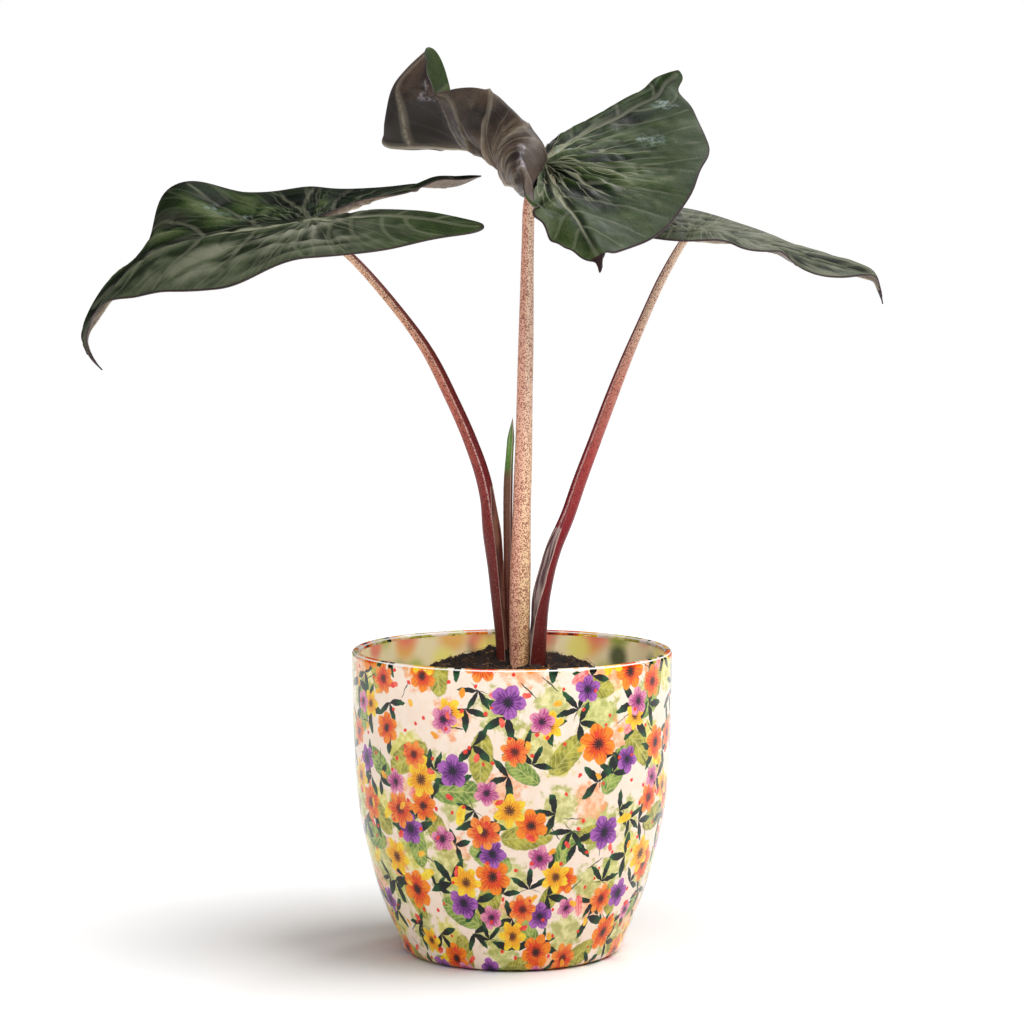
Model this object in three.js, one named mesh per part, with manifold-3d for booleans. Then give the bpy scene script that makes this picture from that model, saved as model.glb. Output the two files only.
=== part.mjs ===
// A potted alocasia: three arrow-shaped leaves on long stems, in potting soil, in a glazed pot.
// Units are millimetres, +Z is up, +Y is away from the viewer.
// The origin is the centre of the pot's underside.
import * as THREE from "three";
import { mergeVertices } from "three/addons/utils/BufferGeometryUtils.js";
import Module from "manifold-3d";

const wasm = await Module();
wasm.setup();

// Driving dimensions
const CLEARANCE = 0.3;
const POT = {
  height: 133,
  baseRadius: 44,
  wall: 4,
  floor: 7,
  lipRadius: 2,
  segments: 48,
  steps: { outside: 11, lip: 4, inside: 8 },
  // Radius and height of the chamfered foot
  foot: [47.6, 1.8],
  // Height and outside radius of the wall, from the foot to the lip
  outline: [[6, 50], [25, 57.8], [43, 63.1], [61, 67], [80, 69], [101, 69.9], [131, 70.3]],
};
const GROW_POT = {
  bottom: 7.3,
  rim: 112.5,
  baseRadius: 42,
  rimRadius: 57.5,
  lipRadius: 60,
  lipHeight: 5,
  wall: 1.2,
  segments: 36,
  drain: { count: 6, radius: 4, ring: 27.3, depth: 12, sides: 12 },
};
const SOIL = {
  bottom: 9,
  segments: 36,
  // Distance from the middle and height of the mounded top
  mound: [
    [55.9, 112.5], [50, 117], [42, 121], [34, 125], [25, 128], [16, 130.6], [8, 131.6], [0, 131.8],
  ],
  // Height of the lumps, and how fast they follow each other along X and Y, in radians per mm
  lumps: [
    { height: 0.9, alongX: 0.31, alongY: 0.27, shift: 1.7 },
    { height: 0.6, alongX: 0.53, alongY: 0.47, shift: 0.4 },
  ],
};
const CORM = { x: 3, y: -1, radius: 12, bottom: 82, top: 103.7, bands: 8, segments: 20 };
const STEM_FOOT = 104;
const STALK_SIDES = { back: 10, opening: 4 };
const STALK_STEPS = 30;
const CLOSED_SHEATH = 0.05;
const BLADE_THICKNESS = 0.8;
const MIDRIB = { height: 1.3, width: 3.5, fadeIn: 16 };

// Each leaf stalk: the points that it passes, from its foot in the soil to the blade, its radius
// at fractions of its length, the way its sheath opens, and the width and depth of that opening.
const STEMS = {
  left: {
    path: [
      [-3.6, 0.5, STEM_FOOT], [-3.7, 0.6, 132], [-5.4, 0.9, 154], [-7.2, 1.2, 172],
      [-9.2, 1.4, 189], [-12.4, 1.5, 207], [-18.3, 1.5, 224.4], [-26.2, 1.4, 242.3],
      [-36.6, 1.2, 262.8], [-50, 1.1, 281.5], [-68, 1, 302.2], [-82.5, 0.5, 314], [-86.7, 0, 319.2],
    ],
    radius: [
      [0, 3.6], [0.11, 3.3], [0.26, 3.8], [0.33, 4.3], [0.4, 3.3], [0.6, 2.8], [0.8, 2.1], [1, 1.6],
    ],
    sheath: [[0, 0.62], [0.2, 0.7], [0.32, 0.68], [0.4, CLOSED_SHEATH]],
    opens: -25,
  },
  centre: {
    path: [
      [3.4, -2, STEM_FOOT], [3.3, -2, 132], [3.4, -1.7, 154], [3.8, -1.1, 172], [4.4, 0.2, 198],
      [5.1, 1.3, 220], [5.5, 2.3, 242], [6, 3.4, 264], [6.4, 4.4, 285], [6.8, 5.5, 307],
      [7.6, 6.5, 328], [11.2, 7.4, 339.5], [13.1, 7.2, 344.8],
    ],
    radius: [[0, 4.4], [0.12, 4.4], [0.22, 4.55], [0.4, 3.9], [0.6, 3.4], [0.9, 2.6], [1, 2.1]],
    sheath: [[0, 0.1], [1, CLOSED_SHEATH]],
    opens: 130,
  },
  right: {
    path: [
      [9.6, -3.4, STEM_FOOT], [10.4, -3.2, 132], [11.4, -1.6, 145], [13.2, 0.6, 158],
      [17.8, 5.4, 175], [24.3, 10.2, 190], [30, 13.9, 206], [36.7, 17.2, 223.5],
      [43.4, 20.4, 241], [50.1, 23.5, 257.7], [57.2, 26.5, 274], [66.2, 30.1, 293.5],
      [74.7, 33.4, 308.5], [79.3, 35, 314.3],
    ],
    radius: [
      [0, 4.5], [0.12, 4.5], [0.22, 4], [0.3, 3.5], [0.42, 3.1], [0.6, 2.8], [0.85, 2], [1, 1.7],
    ],
    sheath: [[0, 0.62], [0.15, 0.7], [0.3, 0.6], [0.39, CLOSED_SHEATH]],
    opens: 215,
  },
};
const NEW_LEAF = {
  path: [
    [-0.6, 4.4, STEM_FOOT], [-0.8, 4.2, 132], [-1.6, 3.6, 165], [-1.7, 2.8, 200],
    [-0.9, 2.8, 219], [0.3, 3, 234],
  ],
  radius: [[0, 2], [0.4, 2], [0.75, 2.1], [0.9, 1.5], [1, 0.35]],
};

// Each blade starts as a flat outline: the right half, from the notch round the lobe to the apex,
// with the stalk's end at 0, 0 and the apex towards +Y.
// Its bends are listed as [place along the blade, value]. The spine is the midrib's slope in
// degrees. Across the blade, fold is the slope beside the midrib in degrees, curl adds degrees per
// mm, roll adds more of them past rollStart, and lift raises a half in mm.
// Each push then moves the blade softly about one place: [flat X, flat Y, reach, move].
const SLIM_OUTLINE = [
  [0, -4], [8, -28], [19, -56], [29, -73], [39, -72], [47, -48], [56, -12],
  [54, 22], [42, 55], [24, 84], [9, 104], [2.5, 118], [0, 142],
];
const LEAVES = {
  left: {
    outline: SLIM_OUTLINE,
    rings: 8,
    columns: 48,
    at: [-86.7, 0, 319.2],
    turn: { yaw: 178, pitch: -3, roll: 17 },
    spine: [[-75, 4], [-40, -12], [0, -1], [45, -7], [92, -38], [114, -62], [142, -128]],
    right: { fold: [[-75, 0], [0, -1], [30, -7], [58, 14], [80, -4], [110, 10]] },
    left: { fold: [[-80, 4], [0, 0], [40, -12], [80, -16], [110, 0]], curl: [[0, -0.1]] },
    wave: { height: 1.5, count: 7, phase: 0.1 },
    pushes: [
      [8, -28, 22, [-2, 0, 2]], [29, -73, 18, [-1, 0, -3]], [47, -48, 22, [-3, 0, -3]],
      [56, -12, 25, [-2, 0, 0]], [54, 22, 22, [1, 0, 3]], [48, 40, 16, [-8, 0, 5]],
      [40, 58, 16, [-5, 0, 1]], [32, 71, 14, [-2, 0, 2]], [-8, -28, 22, [0, 0, 3]],
      [-29, -73, 18, [2, 0, -5]], [-47, -48, 22, [-1, 0, -3]], [-56, -12, 22, [3, 0, 2]],
      [-54, 22, 22, [1, 0, 2]], [-24, 84, 14, [0, 0, -2]], [-9, 104, 14, [1, 0, -4]],
    ],
  },
  centre: {
    outline: [
      [0, -4], [6, -26], [12, -52], [22, -78], [38, -94], [54, -88], [64, -66], [70, -36], [71, -8],
      [62, 22], [40, 50], [20, 70], [10, 92], [4, 106], [0, 118],
    ],
    outlineLeft: [
      [0, -4], [13, -26], [32, -56], [48, -78], [57, -86], [66, -95], [67, -84], [69, -58],
      [74, -14], [69, 18], [56, 50], [38, 76], [16, 98], [5, 106], [0, 118],
    ],
    rings: 11,
    columns: 60,
    at: [13.5, 8, 346.1],
    turn: { yaw: -80, pitch: -24, roll: 0 },
    spine: [[-80, 0], [0, 0], [80, 2], [108, -4], [116, -50]],
    right: {
      fold: [[-85, -10], [0, -35], [60, -20], [80, 0]],
      roll: [[-85, 2], [-50, 3.5], [0, 5], [30, 6.5], [55, 7], [72, 1]],
      rollStart: [[-85, 40], [-40, 14], [0, 4], [40, 4]],
    },
    left: { curl: [[0, -0.1]], lift: [[-85, 10], [-15, 0]] },
    wave: { height: 2.5, count: 6, phase: 0.1 },
    pushes: [
      [-13, -26, 22, [-3, 0, 1]], [-32, -56, 22, [6, 0, -1]], [-48, -78, 18, [10, 0, -3]],
      [-66, -94, 12, [12, 0, 0]], [-69, -62, 20, [8, 0, 0]], [-72, -38, 20, [4, 0, 2]],
      [-73, -14, 25, [3, 0, 3]], [-69, 18, 22, [-3, 0, 3]], [-56, 50, 22, [-3, 0, 2]],
      [-38, 76, 20, [-3, 0, -1]], [-16, 98, 16, [-2, 0, -1]], [0, 106, 14, [3, 0, 0]],
      [0, 118, 10, [2, 0, 2]], [20, 70, 18, [8, 0, 4]], [10, 92, 14, [4, 0, -1]],
      [71, -8, 16, [-15, 0, 9]], [71, -30, 16, [-9, 1, 0]], [68, -46, 14, [-12, -2, -12]],
      [65, -60, 14, [5, -2, -2]], [60, -74, 14, [18, -2, 12]], [52, -90, 14, [11, 3, 18]],
      [38, -94, 14, [8, 10, -1]], [22, -78, 16, [-15, 7, -8]], [12, -52, 16, [-7, 4, -6]],
      [28, -40, 16, [-1, 1, -2]], [36, -52, 14, [5, -5, 10]], [44, -64, 14, [-10, 2, 5]],
      [28, -60, 14, [-26, -1, -13]], [62, 20, 14, [3, 0, 4]], [50, 38, 12, [-5, 0, -4]],
      [38, 50, 12, [-7, 0, -9]], [29, 60, 12, [1, 0, -8]], [25, 0, 16, [5, 0, -7]],
      [22, 35, 14, [2, 0, -5]], [46, 4, 16, [-1, 0, -5]], [48, 26, 14, [-6, 0, 0]],
      [50, -74, 12, [-9, -1, 4]],
    ],
  },
  right: {
    outline: [
      [0, -3.5], [7, -23], [16, -46], [24, -60], [32, -59], [39, -39], [46, -10],
      [44, 18], [34, 45], [20, 68], [8, 83], [2.5, 92], [0, 108],
    ],
    rings: 8,
    columns: 48,
    at: [79.3, 35, 314.3],
    turn: { yaw: 16, pitch: -8, roll: -9 },
    spine: [[-60, 4], [0, 0], [60, -6], [86, -9], [96, -42], [106, -62]],
    right: {
      fold: [[-60, 20], [0, 24], [30, 8], [60, 0]],
      curl: [[-60, -0.8], [10, -0.9], [40, -0.1]],
    },
    left: { fold: [[0, 4], [50, 0]] },
    wave: { height: 1.5, count: 7, phase: 0.3 },
    pushes: [
      [39, -39, 20, [5, 0, -1]], [46, -10, 20, [-5, 0, 0]], [44, 18, 20, [-2, 0, 4]],
      [34, 45, 18, [-5, 0, -1]], [20, 68, 16, [0, 0, -2]], [8, 83, 12, [1, 0, -1]],
      [-46, -10, 22, [8, 0, 2]], [-44, 18, 22, [7, 0, 0]], [-34, 45, 20, [6, 0, 2]],
      [-20, 68, 16, [5, 0, 2]], [-8, 83, 12, [3, 0, 1]], [0, 30, 20, [0, 0, 2]],
      [0, 60, 20, [-1, 0, 1]], [0, 108, 12, [-2, 0, 3]],
    ],
  },
};
const BEND_STEPS = 40;
// How many mm it takes for the fold, the roll and the lift to come in
const FOLD_EASE = 5;
const ROLL_EASE = 3;
const LIFT_EASE = 12;

const radians = THREE.MathUtils.degToRad;

// A smooth value through [place, value] pairs, held flat past both ends
function curveAt(pairs = [[0, 0]], place = 0) {
  const last = pairs.length - 1;
  if (place <= pairs[0][0]) return pairs[0][1];
  if (place >= pairs[last][0]) return pairs[last][1];
  const next = pairs.findIndex((pair) => pair[0] >= place);
  const [startPlace, startValue] = pairs[next - 1];
  const [endPlace, endValue] = pairs[next];
  const share = (place - startPlace) / (endPlace - startPlace);
  return startValue + (endValue - startValue) * share * share * (3 - 2 * share);
}

// Evenly spaced samples of a Catmull-Rom curve through flat points
function sampleOutline(points, count) {
  const last = points.length - 1;
  const before = points[1].map((value, i) => 2 * points[0][i] - value);
  const after = points[last - 1].map((value, i) => 2 * points[last][i] - value);
  const knots = [before, ...points, after];
  return Array.from({ length: count }, (_, index) => {
    const place = (index / (count - 1)) * last;
    const span = Math.min(Math.floor(place), last - 1);
    const f = place - span;
    const [a, b, c, d] = knots.slice(span, span + 4);
    return [0, 1].map((i) => {
      const square = 2 * a[i] - 5 * b[i] + 4 * c[i] - d[i];
      const cube = 3 * b[i] - a[i] - 3 * c[i] + d[i];
      return 0.5 * (2 * b[i] + (c[i] - a[i]) * f + square * f ** 2 + cube * f ** 3);
    });
  });
}

const MERGE_DISTANCE = 1e-4;

// Merge shared vertices and turn the faces outwards
function closed(geometry) {
  const bare = new THREE.BufferGeometry();
  bare.setAttribute("position", geometry.getAttribute("position"));
  bare.setIndex(geometry.getIndex());
  const merged = mergeVertices(bare, MERGE_DISTANCE);
  const position = merged.getAttribute("position");
  const index = Array.from(merged.getIndex().array);
  const corner = (i) => new THREE.Vector3().fromBufferAttribute(position, index[i]);
  const kept = [];
  let volume = 0;
  for (let i = 0; i < index.length; i += 3) {
    const [a, b, c] = [index[i], index[i + 1], index[i + 2]];
    if (a === b || b === c || a === c) continue;
    kept.push(a, b, c);
    volume += corner(i).dot(corner(i + 1).cross(corner(i + 2)));
  }
  if (volume < 0) kept.reverse();
  merged.setIndex(kept);
  return merged;
}

function toManifold(geometry) {
  const vertProperties = new Float32Array(geometry.getAttribute("position").array);
  const triVerts = new Uint32Array(geometry.getIndex().array);
  return new wasm.Manifold(new wasm.Mesh({ numProp: 3, vertProperties, triVerts }));
}

function fromManifold(solid) {
  const mesh = solid.getMesh();
  const geometry = new THREE.BufferGeometry();
  geometry.setAttribute("position", new THREE.BufferAttribute(mesh.vertProperties.slice(), 3));
  geometry.setIndex(Array.from(mesh.triVerts));
  return geometry;
}

// Cut solids out of another and keep the largest body that is left
function carve(geometry, cutters) {
  const whole = toManifold(geometry);
  const cut = cutters.reduce((solid, cutter) => solid.subtract(toManifold(cutter)), whole);
  const bodies = cut.decompose().sort((a, b) => b.volume() - a.volume());
  return fromManifold(bodies[0]);
}

// A ring of triangles between two rows of vertex numbers that close on themselves
function joinRings(index, inner, outer) {
  inner.forEach((here, i) => {
    const next = (i + 1) % inner.length;
    index.push(here, outer[i], outer[next], here, outer[next], inner[next]);
  });
}

// Leaf blades

// Where a flat point of the blade lies before it is placed: right +X, apex +Y, upper side +Z
function bendPoint(leaf, x, y) {
  const spine = { along: 0, up: 0 };
  for (let i = 0; i < BEND_STEPS; i += 1) {
    const slope = radians(curveAt(leaf.spine, (y * (i + 0.5)) / BEND_STEPS));
    spine.along += (Math.cos(slope) * y) / BEND_STEPS;
    spine.up += (Math.sin(slope) * y) / BEND_STEPS;
  }
  const half = x >= 0 ? leaf.right : leaf.left;
  const width = Math.abs(x);
  const fold = curveAt(half.fold, y);
  const curl = curveAt(half.curl, y);
  const roll = curveAt(half.roll, y);
  const rollStart = curveAt(half.rollStart, y);
  let out = 0;
  let rise = curveAt(half.lift, y) * Math.min(width / LIFT_EASE, 1);
  for (let i = 0; i < BEND_STEPS; i += 1) {
    const reached = (width * (i + 0.5)) / BEND_STEPS;
    const past = Math.max(reached - rollStart, 0);
    const rolled = (roll * past * past) / (past + ROLL_EASE);
    const tilt = radians(fold * Math.tanh(reached / FOLD_EASE) + curl * reached + rolled);
    out += (Math.cos(tilt) * width) / BEND_STEPS;
    rise += (Math.sin(tilt) * width) / BEND_STEPS;
  }
  const slope = radians(curveAt(leaf.spine, y));
  return new THREE.Vector3(
    Math.sign(x) * out,
    spine.along - rise * Math.sin(slope),
    spine.up + rise * Math.cos(slope),
  );
}

// The matrix that turns a bent blade to its place on the plant
function placeMatrix(leaf) {
  const yaw = radians(leaf.turn.yaw);
  const pitch = radians(leaf.turn.pitch);
  const vertical = new THREE.Vector3(0, 0, 1);
  const level = new THREE.Vector3(Math.cos(yaw), Math.sin(yaw), 0);
  const forward = level.multiplyScalar(Math.cos(pitch)).addScaledVector(vertical, Math.sin(pitch));
  const right = new THREE.Vector3().crossVectors(forward, vertical).normalize();
  right.applyAxisAngle(forward, -radians(leaf.turn.roll));
  const up = new THREE.Vector3().crossVectors(right, forward);
  return new THREE.Matrix4().makeBasis(right, forward, up).setPosition(...leaf.at);
}

// The closed flat outline: notch, right lobe, apex, left lobe
function bladeRim(leaf) {
  const count = leaf.columns / 2 + 1;
  const right = sampleOutline(leaf.outline, count);
  const left = sampleOutline(leaf.outlineLeft ?? leaf.outline, count).reverse().slice(1, -1);
  return [...right, ...left.map(([x, y]) => [-x, y])];
}

// The flat blade as rings of points round the stalk's end, each with its share r of the way out
// and its share u of the way round, and the triangles between them
function bladeGrid(leaf) {
  const rim = bladeRim(leaf);
  const columns = rim.length;
  const flat = [{ x: 0, y: 0, r: 0, u: 0 }];
  const rows = [];
  for (let ring = 1; ring <= leaf.rings; ring += 1) {
    const r = ring / leaf.rings;
    rows.push(rim.map((_, column) => flat.length + column));
    rim.forEach(([x, y], column) => flat.push({ x: x * r, y: y * r, r, u: column / columns }));
  }
  const faces = [];
  rows[0].forEach((here, i) => faces.push(0, here, rows[0][(i + 1) % columns]));
  for (let ring = 1; ring < leaf.rings; ring += 1) joinRings(faces, rows[ring - 1], rows[ring]);
  return { flat, faces, edge: rows[leaf.rings - 1] };
}

function pointNormals(points, faces) {
  const geometry = new THREE.BufferGeometry().setFromPoints(points);
  geometry.setIndex(faces);
  geometry.computeVertexNormals();
  const normal = geometry.getAttribute("normal");
  return points.map((_, i) => new THREE.Vector3().fromBufferAttribute(normal, i));
}

// A thin closed leaf blade with a waved margin and a midrib that stands out below
function bladeGeometry(leaf, extra = 0) {
  const { flat, faces, edge } = bladeGrid(leaf);
  const place = placeMatrix(leaf);
  const points = flat.map(({ x, y }) => bendPoint(leaf, x, y).applyMatrix4(place));
  pointNormals(points, faces).forEach((normal, i) => {
    const { x, y, r, u } = flat[i];
    const turns = leaf.wave.count * u + leaf.wave.phase;
    points[i].addScaledVector(normal, leaf.wave.height * r ** 3 * Math.sin(2 * Math.PI * turns));
    leaf.pushes.forEach(([atX, atY, reach, move]) => {
      const weight = Math.exp(-((x - atX) ** 2 + (y - atY) ** 2) / reach ** 2);
      points[i].addScaledVector(new THREE.Vector3(...move), weight);
    });
  });

  const length = leaf.outline[leaf.outline.length - 1][1];
  const normals = pointNormals(points, faces);
  const half = BLADE_THICKNESS / 2 + extra;
  const upper = points.map((point, i) => point.clone().addScaledVector(normals[i], half));
  const lower = points.map((point, i) => {
    const { x, y, r } = flat[i];
    const swell = Math.min(Math.max(y, 0) / MIDRIB.fadeIn, 1) * (1 - y / length);
    const onMidrib = r < 1 ? Math.exp(-((x / MIDRIB.width) ** 2)) * swell : 0;
    return point.clone().addScaledVector(normals[i], -half - MIDRIB.height * onMidrib);
  });
  const index = [...faces];
  for (let i = 0; i < faces.length; i += 3) {
    const [a, b, c] = faces.slice(i, i + 3).map((corner) => corner + points.length);
    index.push(a, c, b);
  }
  joinRings(index, edge, edge.map((here) => here + points.length));
  const geometry = new THREE.BufferGeometry().setFromPoints([...upper, ...lower]);
  geometry.setIndex(index);
  return closed(geometry);
}

// Leaf stalks

// The outline of a stalk across its length, at a share of that length: a disc with a round bite
// between the two wings of its sheath, for which depth is the share of the width bitten away.
// A widened stalk, used to cut its hole, has its sheath closed.
function stalkSection({ radius, sheath }, share, extra) {
  const size = curveAt(radius, share) + extra;
  const depth = extra > 0 || !sheath ? CLOSED_SHEATH : curveAt(sheath, share);
  const bite = size * (0.2 + 0.9 * depth);
  const reach = size * (1 - 2 * depth) + bite;
  const meetX = (size * size - bite * bite + reach * reach) / (2 * reach);
  const meetY = Math.sqrt(size * size - meetX * meetX);
  const backStart = Math.atan2(meetY, meetX);
  const biteStart = Math.atan2(meetY, meetX - reach);
  const back = Array.from({ length: STALK_SIDES.back }, (_, i) => {
    const angle = backStart + (2 * (Math.PI - backStart) * i) / STALK_SIDES.back;
    return new THREE.Vector2(size * Math.cos(angle), size * Math.sin(angle));
  });
  const opening = Array.from({ length: STALK_SIDES.opening }, (_, i) => {
    const angle = -biteStart - (2 * (Math.PI - biteStart) * i) / STALK_SIDES.opening;
    return new THREE.Vector2(reach + bite * Math.cos(angle), bite * Math.sin(angle));
  });
  return [...back, ...opening];
}

// A closed bar along a path, turned so that its sheath opens towards the given heading
function sweepStalk(stem, extra = 0) {
  const knots = stem.path.map((point) => new THREE.Vector3(...point));
  const curve = new THREE.CatmullRomCurve3(knots, false, "centripetal");
  const opens = radians(stem.opens ?? 0);
  const heading = new THREE.Vector3(Math.cos(opens), Math.sin(opens), 0);
  const points = [];
  const rows = [];
  for (let step = 0; step <= STALK_STEPS; step += 1) {
    const share = step / STALK_STEPS;
    const centre = curve.getPointAt(share);
    const along = curve.getTangentAt(share);
    if (step === 0) centre.addScaledVector(along, -extra);
    if (step === STALK_STEPS) centre.addScaledVector(along, extra);
    const across = heading.clone().addScaledVector(along, -heading.dot(along)).normalize();
    const side = new THREE.Vector3().crossVectors(along, across);
    const section = stalkSection(stem, share, extra);
    rows.push(section.map((_, i) => points.length + i));
    section.forEach(({ x, y }) => {
      points.push(centre.clone().addScaledVector(across, x).addScaledVector(side, y));
    });
  }
  const index = [];
  for (let step = 1; step <= STALK_STEPS; step += 1) joinRings(index, rows[step], rows[step - 1]);
  const endFaces = (share) => THREE.ShapeUtils.triangulateShape(stalkSection(stem, share, extra), []);
  endFaces(0).forEach(([a, b, c]) => index.push(rows[0][a], rows[0][c], rows[0][b]));
  endFaces(1).forEach((face) => index.push(...face.map((i) => rows[STALK_STEPS][i])));
  const geometry = new THREE.BufferGeometry().setFromPoints(points);
  geometry.setIndex(index);
  return closed(geometry);
}

// Pots and soil

function lathe(profile, segments) {
  return closed(new THREE.LatheGeometry(profile, segments).rotateX(Math.PI / 2));
}

function flatPoints(pairs) {
  return pairs.map(([x, y]) => new THREE.Vector2(x, y));
}

// A rounded lip from the outside of a wall over to its inside
function lipArc(centreX, centreZ, radius, count) {
  return Array.from({ length: count }, (_, i) => {
    const angle = (Math.PI * (i + 1)) / count;
    return new THREE.Vector2(centreX + radius * Math.cos(angle), centreZ + radius * Math.sin(angle));
  });
}

function potGeometry() {
  const { height, baseRadius, wall, floor, lipRadius, foot, outline, segments } = POT;
  const wallCurve = new THREE.SplineCurve(outline.map(([z, r]) => new THREE.Vector2(r, z)));
  const outside = wallCurve.getPoints(POT.steps.outside);
  const inside = wallCurve.getPoints(POT.steps.inside).reverse().slice(1)
    .filter((point) => point.y > floor + wall)
    .map((point) => new THREE.Vector2(point.x - wall, point.y));
  const lipCentre = outside[outside.length - 1].x - lipRadius;
  return lathe([
    ...flatPoints([[0, 0], [baseRadius, 0], foot]),
    ...outside,
    ...lipArc(lipCentre, height - lipRadius, lipRadius, POT.steps.lip),
    ...inside,
    ...flatPoints([[baseRadius, floor], [0, floor]]),
  ], segments);
}

function growPotGeometry() {
  const { bottom, rim, baseRadius, rimRadius, lipRadius, lipHeight, wall, drain } = GROW_POT;
  const shell = lathe(flatPoints([
    [0, bottom], [baseRadius, bottom], [rimRadius, rim - lipHeight], [lipRadius, rim - lipHeight],
    [lipRadius, rim], [rimRadius - wall, rim], [baseRadius - wall, bottom + wall], [0, bottom + wall],
  ]), GROW_POT.segments);
  const drains = Array.from({ length: drain.count }, (_, i) => {
    const angle = (2 * Math.PI * i) / drain.count;
    const hole = new THREE.CylinderGeometry(drain.radius, drain.radius, drain.depth, drain.sides);
    hole.rotateX(Math.PI / 2);
    hole.translate(drain.ring * Math.cos(angle), drain.ring * Math.sin(angle), bottom);
    return closed(hole);
  });
  return carve(shell, drains);
}

// Inside radius of the nursery pot at a height
function growPotInside(z) {
  const { bottom, rim, baseRadius, rimRadius, wall } = GROW_POT;
  const share = (z - bottom - wall) / (rim - bottom - wall);
  return baseRadius - wall + (rimRadius - baseRadius) * share;
}

// Potting soil that fills the nursery pot and stands over its rim in a lumpy mound
function soilGeometry() {
  const { bottom, mound, lumps, segments } = SOIL;
  const sides = [bottom, GROW_POT.rim - 2].map((z) => [growPotInside(z) - CLEARANCE, z]);
  const geometry = lathe(flatPoints([[0, bottom], ...sides, ...mound]), segments);
  const position = geometry.getAttribute("position");
  for (let i = 0; i < position.count; i += 1) {
    const [x, y, z] = [position.getX(i), position.getY(i), position.getZ(i)];
    const rise = lumps.reduce((sum, lump) => (
      sum + lump.height * Math.sin(lump.alongX * x + lump.shift) * Math.cos(lump.alongY * y)), 0);
    if (z > mound[0][1]) position.setZ(i, z + rise);
  }
  return geometry;
}

// The short thick tuber from which the leaves grow
function cormGeometry(extra = 0) {
  const middle = (CORM.top + CORM.bottom) / 2;
  const halfHeight = (CORM.top - CORM.bottom) / 2 + extra;
  const profile = Array.from({ length: CORM.bands + 1 }, (_, i) => {
    const angle = Math.PI * (i / CORM.bands - 0.5);
    const onAxis = i === 0 || i === CORM.bands;
    const radius = onAxis ? 0 : (CORM.radius + extra) * Math.cos(angle) ** 0.7;
    return new THREE.Vector2(radius, middle + halfHeight * Math.sin(angle));
  });
  return lathe(profile, CORM.segments).translate(CORM.x, CORM.y, 0);
}

// Finishes
function finish(colour, roughness) {
  return new THREE.MeshStandardMaterial({ color: colour, roughness, metalness: 0 });
}

const COLOURS = {
  glaze: 0xf2d9c4,
  blackPlastic: 0x2a2a2a,
  soil: 0x3a2a1e,
  corm: 0x6b4a32,
  redStalk: 0x8a4038,
  creamStalk: 0xc9a17c,
  youngLeaf: 0x4a5a32,
  leaf: 0x33452f,
};

// Assembly
const plant = new THREE.Group();

function add(name, geometry, material) {
  const mesh = new THREE.Mesh(geometry, material);
  mesh.name = name;
  plant.add(mesh);
}

const shoots = { ...STEMS, new_leaf: NEW_LEAF };
const widened = Object.fromEntries(Object.entries(shoots).map(([name, stem]) => (
  [name, sweepStalk(stem, CLEARANCE)])));

// Each stalk gives way to the neighbours that it presses against, and to its own blade
const GIVES_WAY_TO = { left: ["centre", "new_leaf"], centre: [], right: ["centre"] };
function stalkGeometry(side) {
  const pressing = GIVES_WAY_TO[side].map((name) => widened[name]);
  return carve(sweepStalk(STEMS[side]), [...pressing, bladeGeometry(LEAVES[side], CLEARANCE)]);
}

const buried = [...Object.values(widened), cormGeometry(CLEARANCE)];
add("pot", potGeometry(), finish(COLOURS.glaze, 0.15));
add("grow_pot", growPotGeometry(), finish(COLOURS.blackPlastic, 0.6));
add("soil", carve(soilGeometry(), buried), finish(COLOURS.soil, 0.95));
add("corm", cormGeometry(), finish(COLOURS.corm, 0.8));
add("petiole_left", stalkGeometry("left"), finish(COLOURS.redStalk, 0.5));
add("petiole_centre", stalkGeometry("centre"), finish(COLOURS.creamStalk, 0.5));
add("petiole_right", stalkGeometry("right"), finish(COLOURS.redStalk, 0.5));
add("new_leaf", sweepStalk(NEW_LEAF), finish(COLOURS.youngLeaf, 0.5));
Object.entries(LEAVES).forEach(([side, leaf]) => {
  add(`blade_${side}`, bladeGeometry(leaf), finish(COLOURS.leaf, 0.45));
});

export default plant;
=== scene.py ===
# %% [markdown]
# A potted alocasia, dressed for a studio picture
#
# The plant has three large arrow-shaped leaves on long stalks. They stand in potting soil, in a thin
# nursery pot that is hidden in a glazed pot with a printed pattern.
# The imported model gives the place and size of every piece. This script replaces its plain solids
# with finer ones that keep their form, and gives each of them its finish.

# %% Load the frame
import math
import random

import bpy
import numpy as np
from mathutils import Matrix, Vector


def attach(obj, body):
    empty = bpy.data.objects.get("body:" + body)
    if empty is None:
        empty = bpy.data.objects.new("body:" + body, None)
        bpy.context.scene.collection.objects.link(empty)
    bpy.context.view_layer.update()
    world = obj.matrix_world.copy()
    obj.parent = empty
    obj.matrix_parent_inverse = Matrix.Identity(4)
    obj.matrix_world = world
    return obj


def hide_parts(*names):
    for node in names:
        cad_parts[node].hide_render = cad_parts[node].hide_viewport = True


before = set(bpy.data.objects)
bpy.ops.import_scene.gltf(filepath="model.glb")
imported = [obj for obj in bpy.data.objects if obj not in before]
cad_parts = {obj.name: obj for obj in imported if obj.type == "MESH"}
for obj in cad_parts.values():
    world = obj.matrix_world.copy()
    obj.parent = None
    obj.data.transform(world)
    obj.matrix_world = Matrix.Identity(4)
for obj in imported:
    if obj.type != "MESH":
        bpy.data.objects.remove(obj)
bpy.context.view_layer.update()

MM = 0.001
print("frame:", sorted(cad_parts))

# %% [markdown]
# Materials are long sums of patterns. A small class lets a node's output take part in ordinary
# arithmetic, so a pattern reads as a formula and not as a list of links. A number that is the same
# everywhere is set on the shader's own socket.


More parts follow.
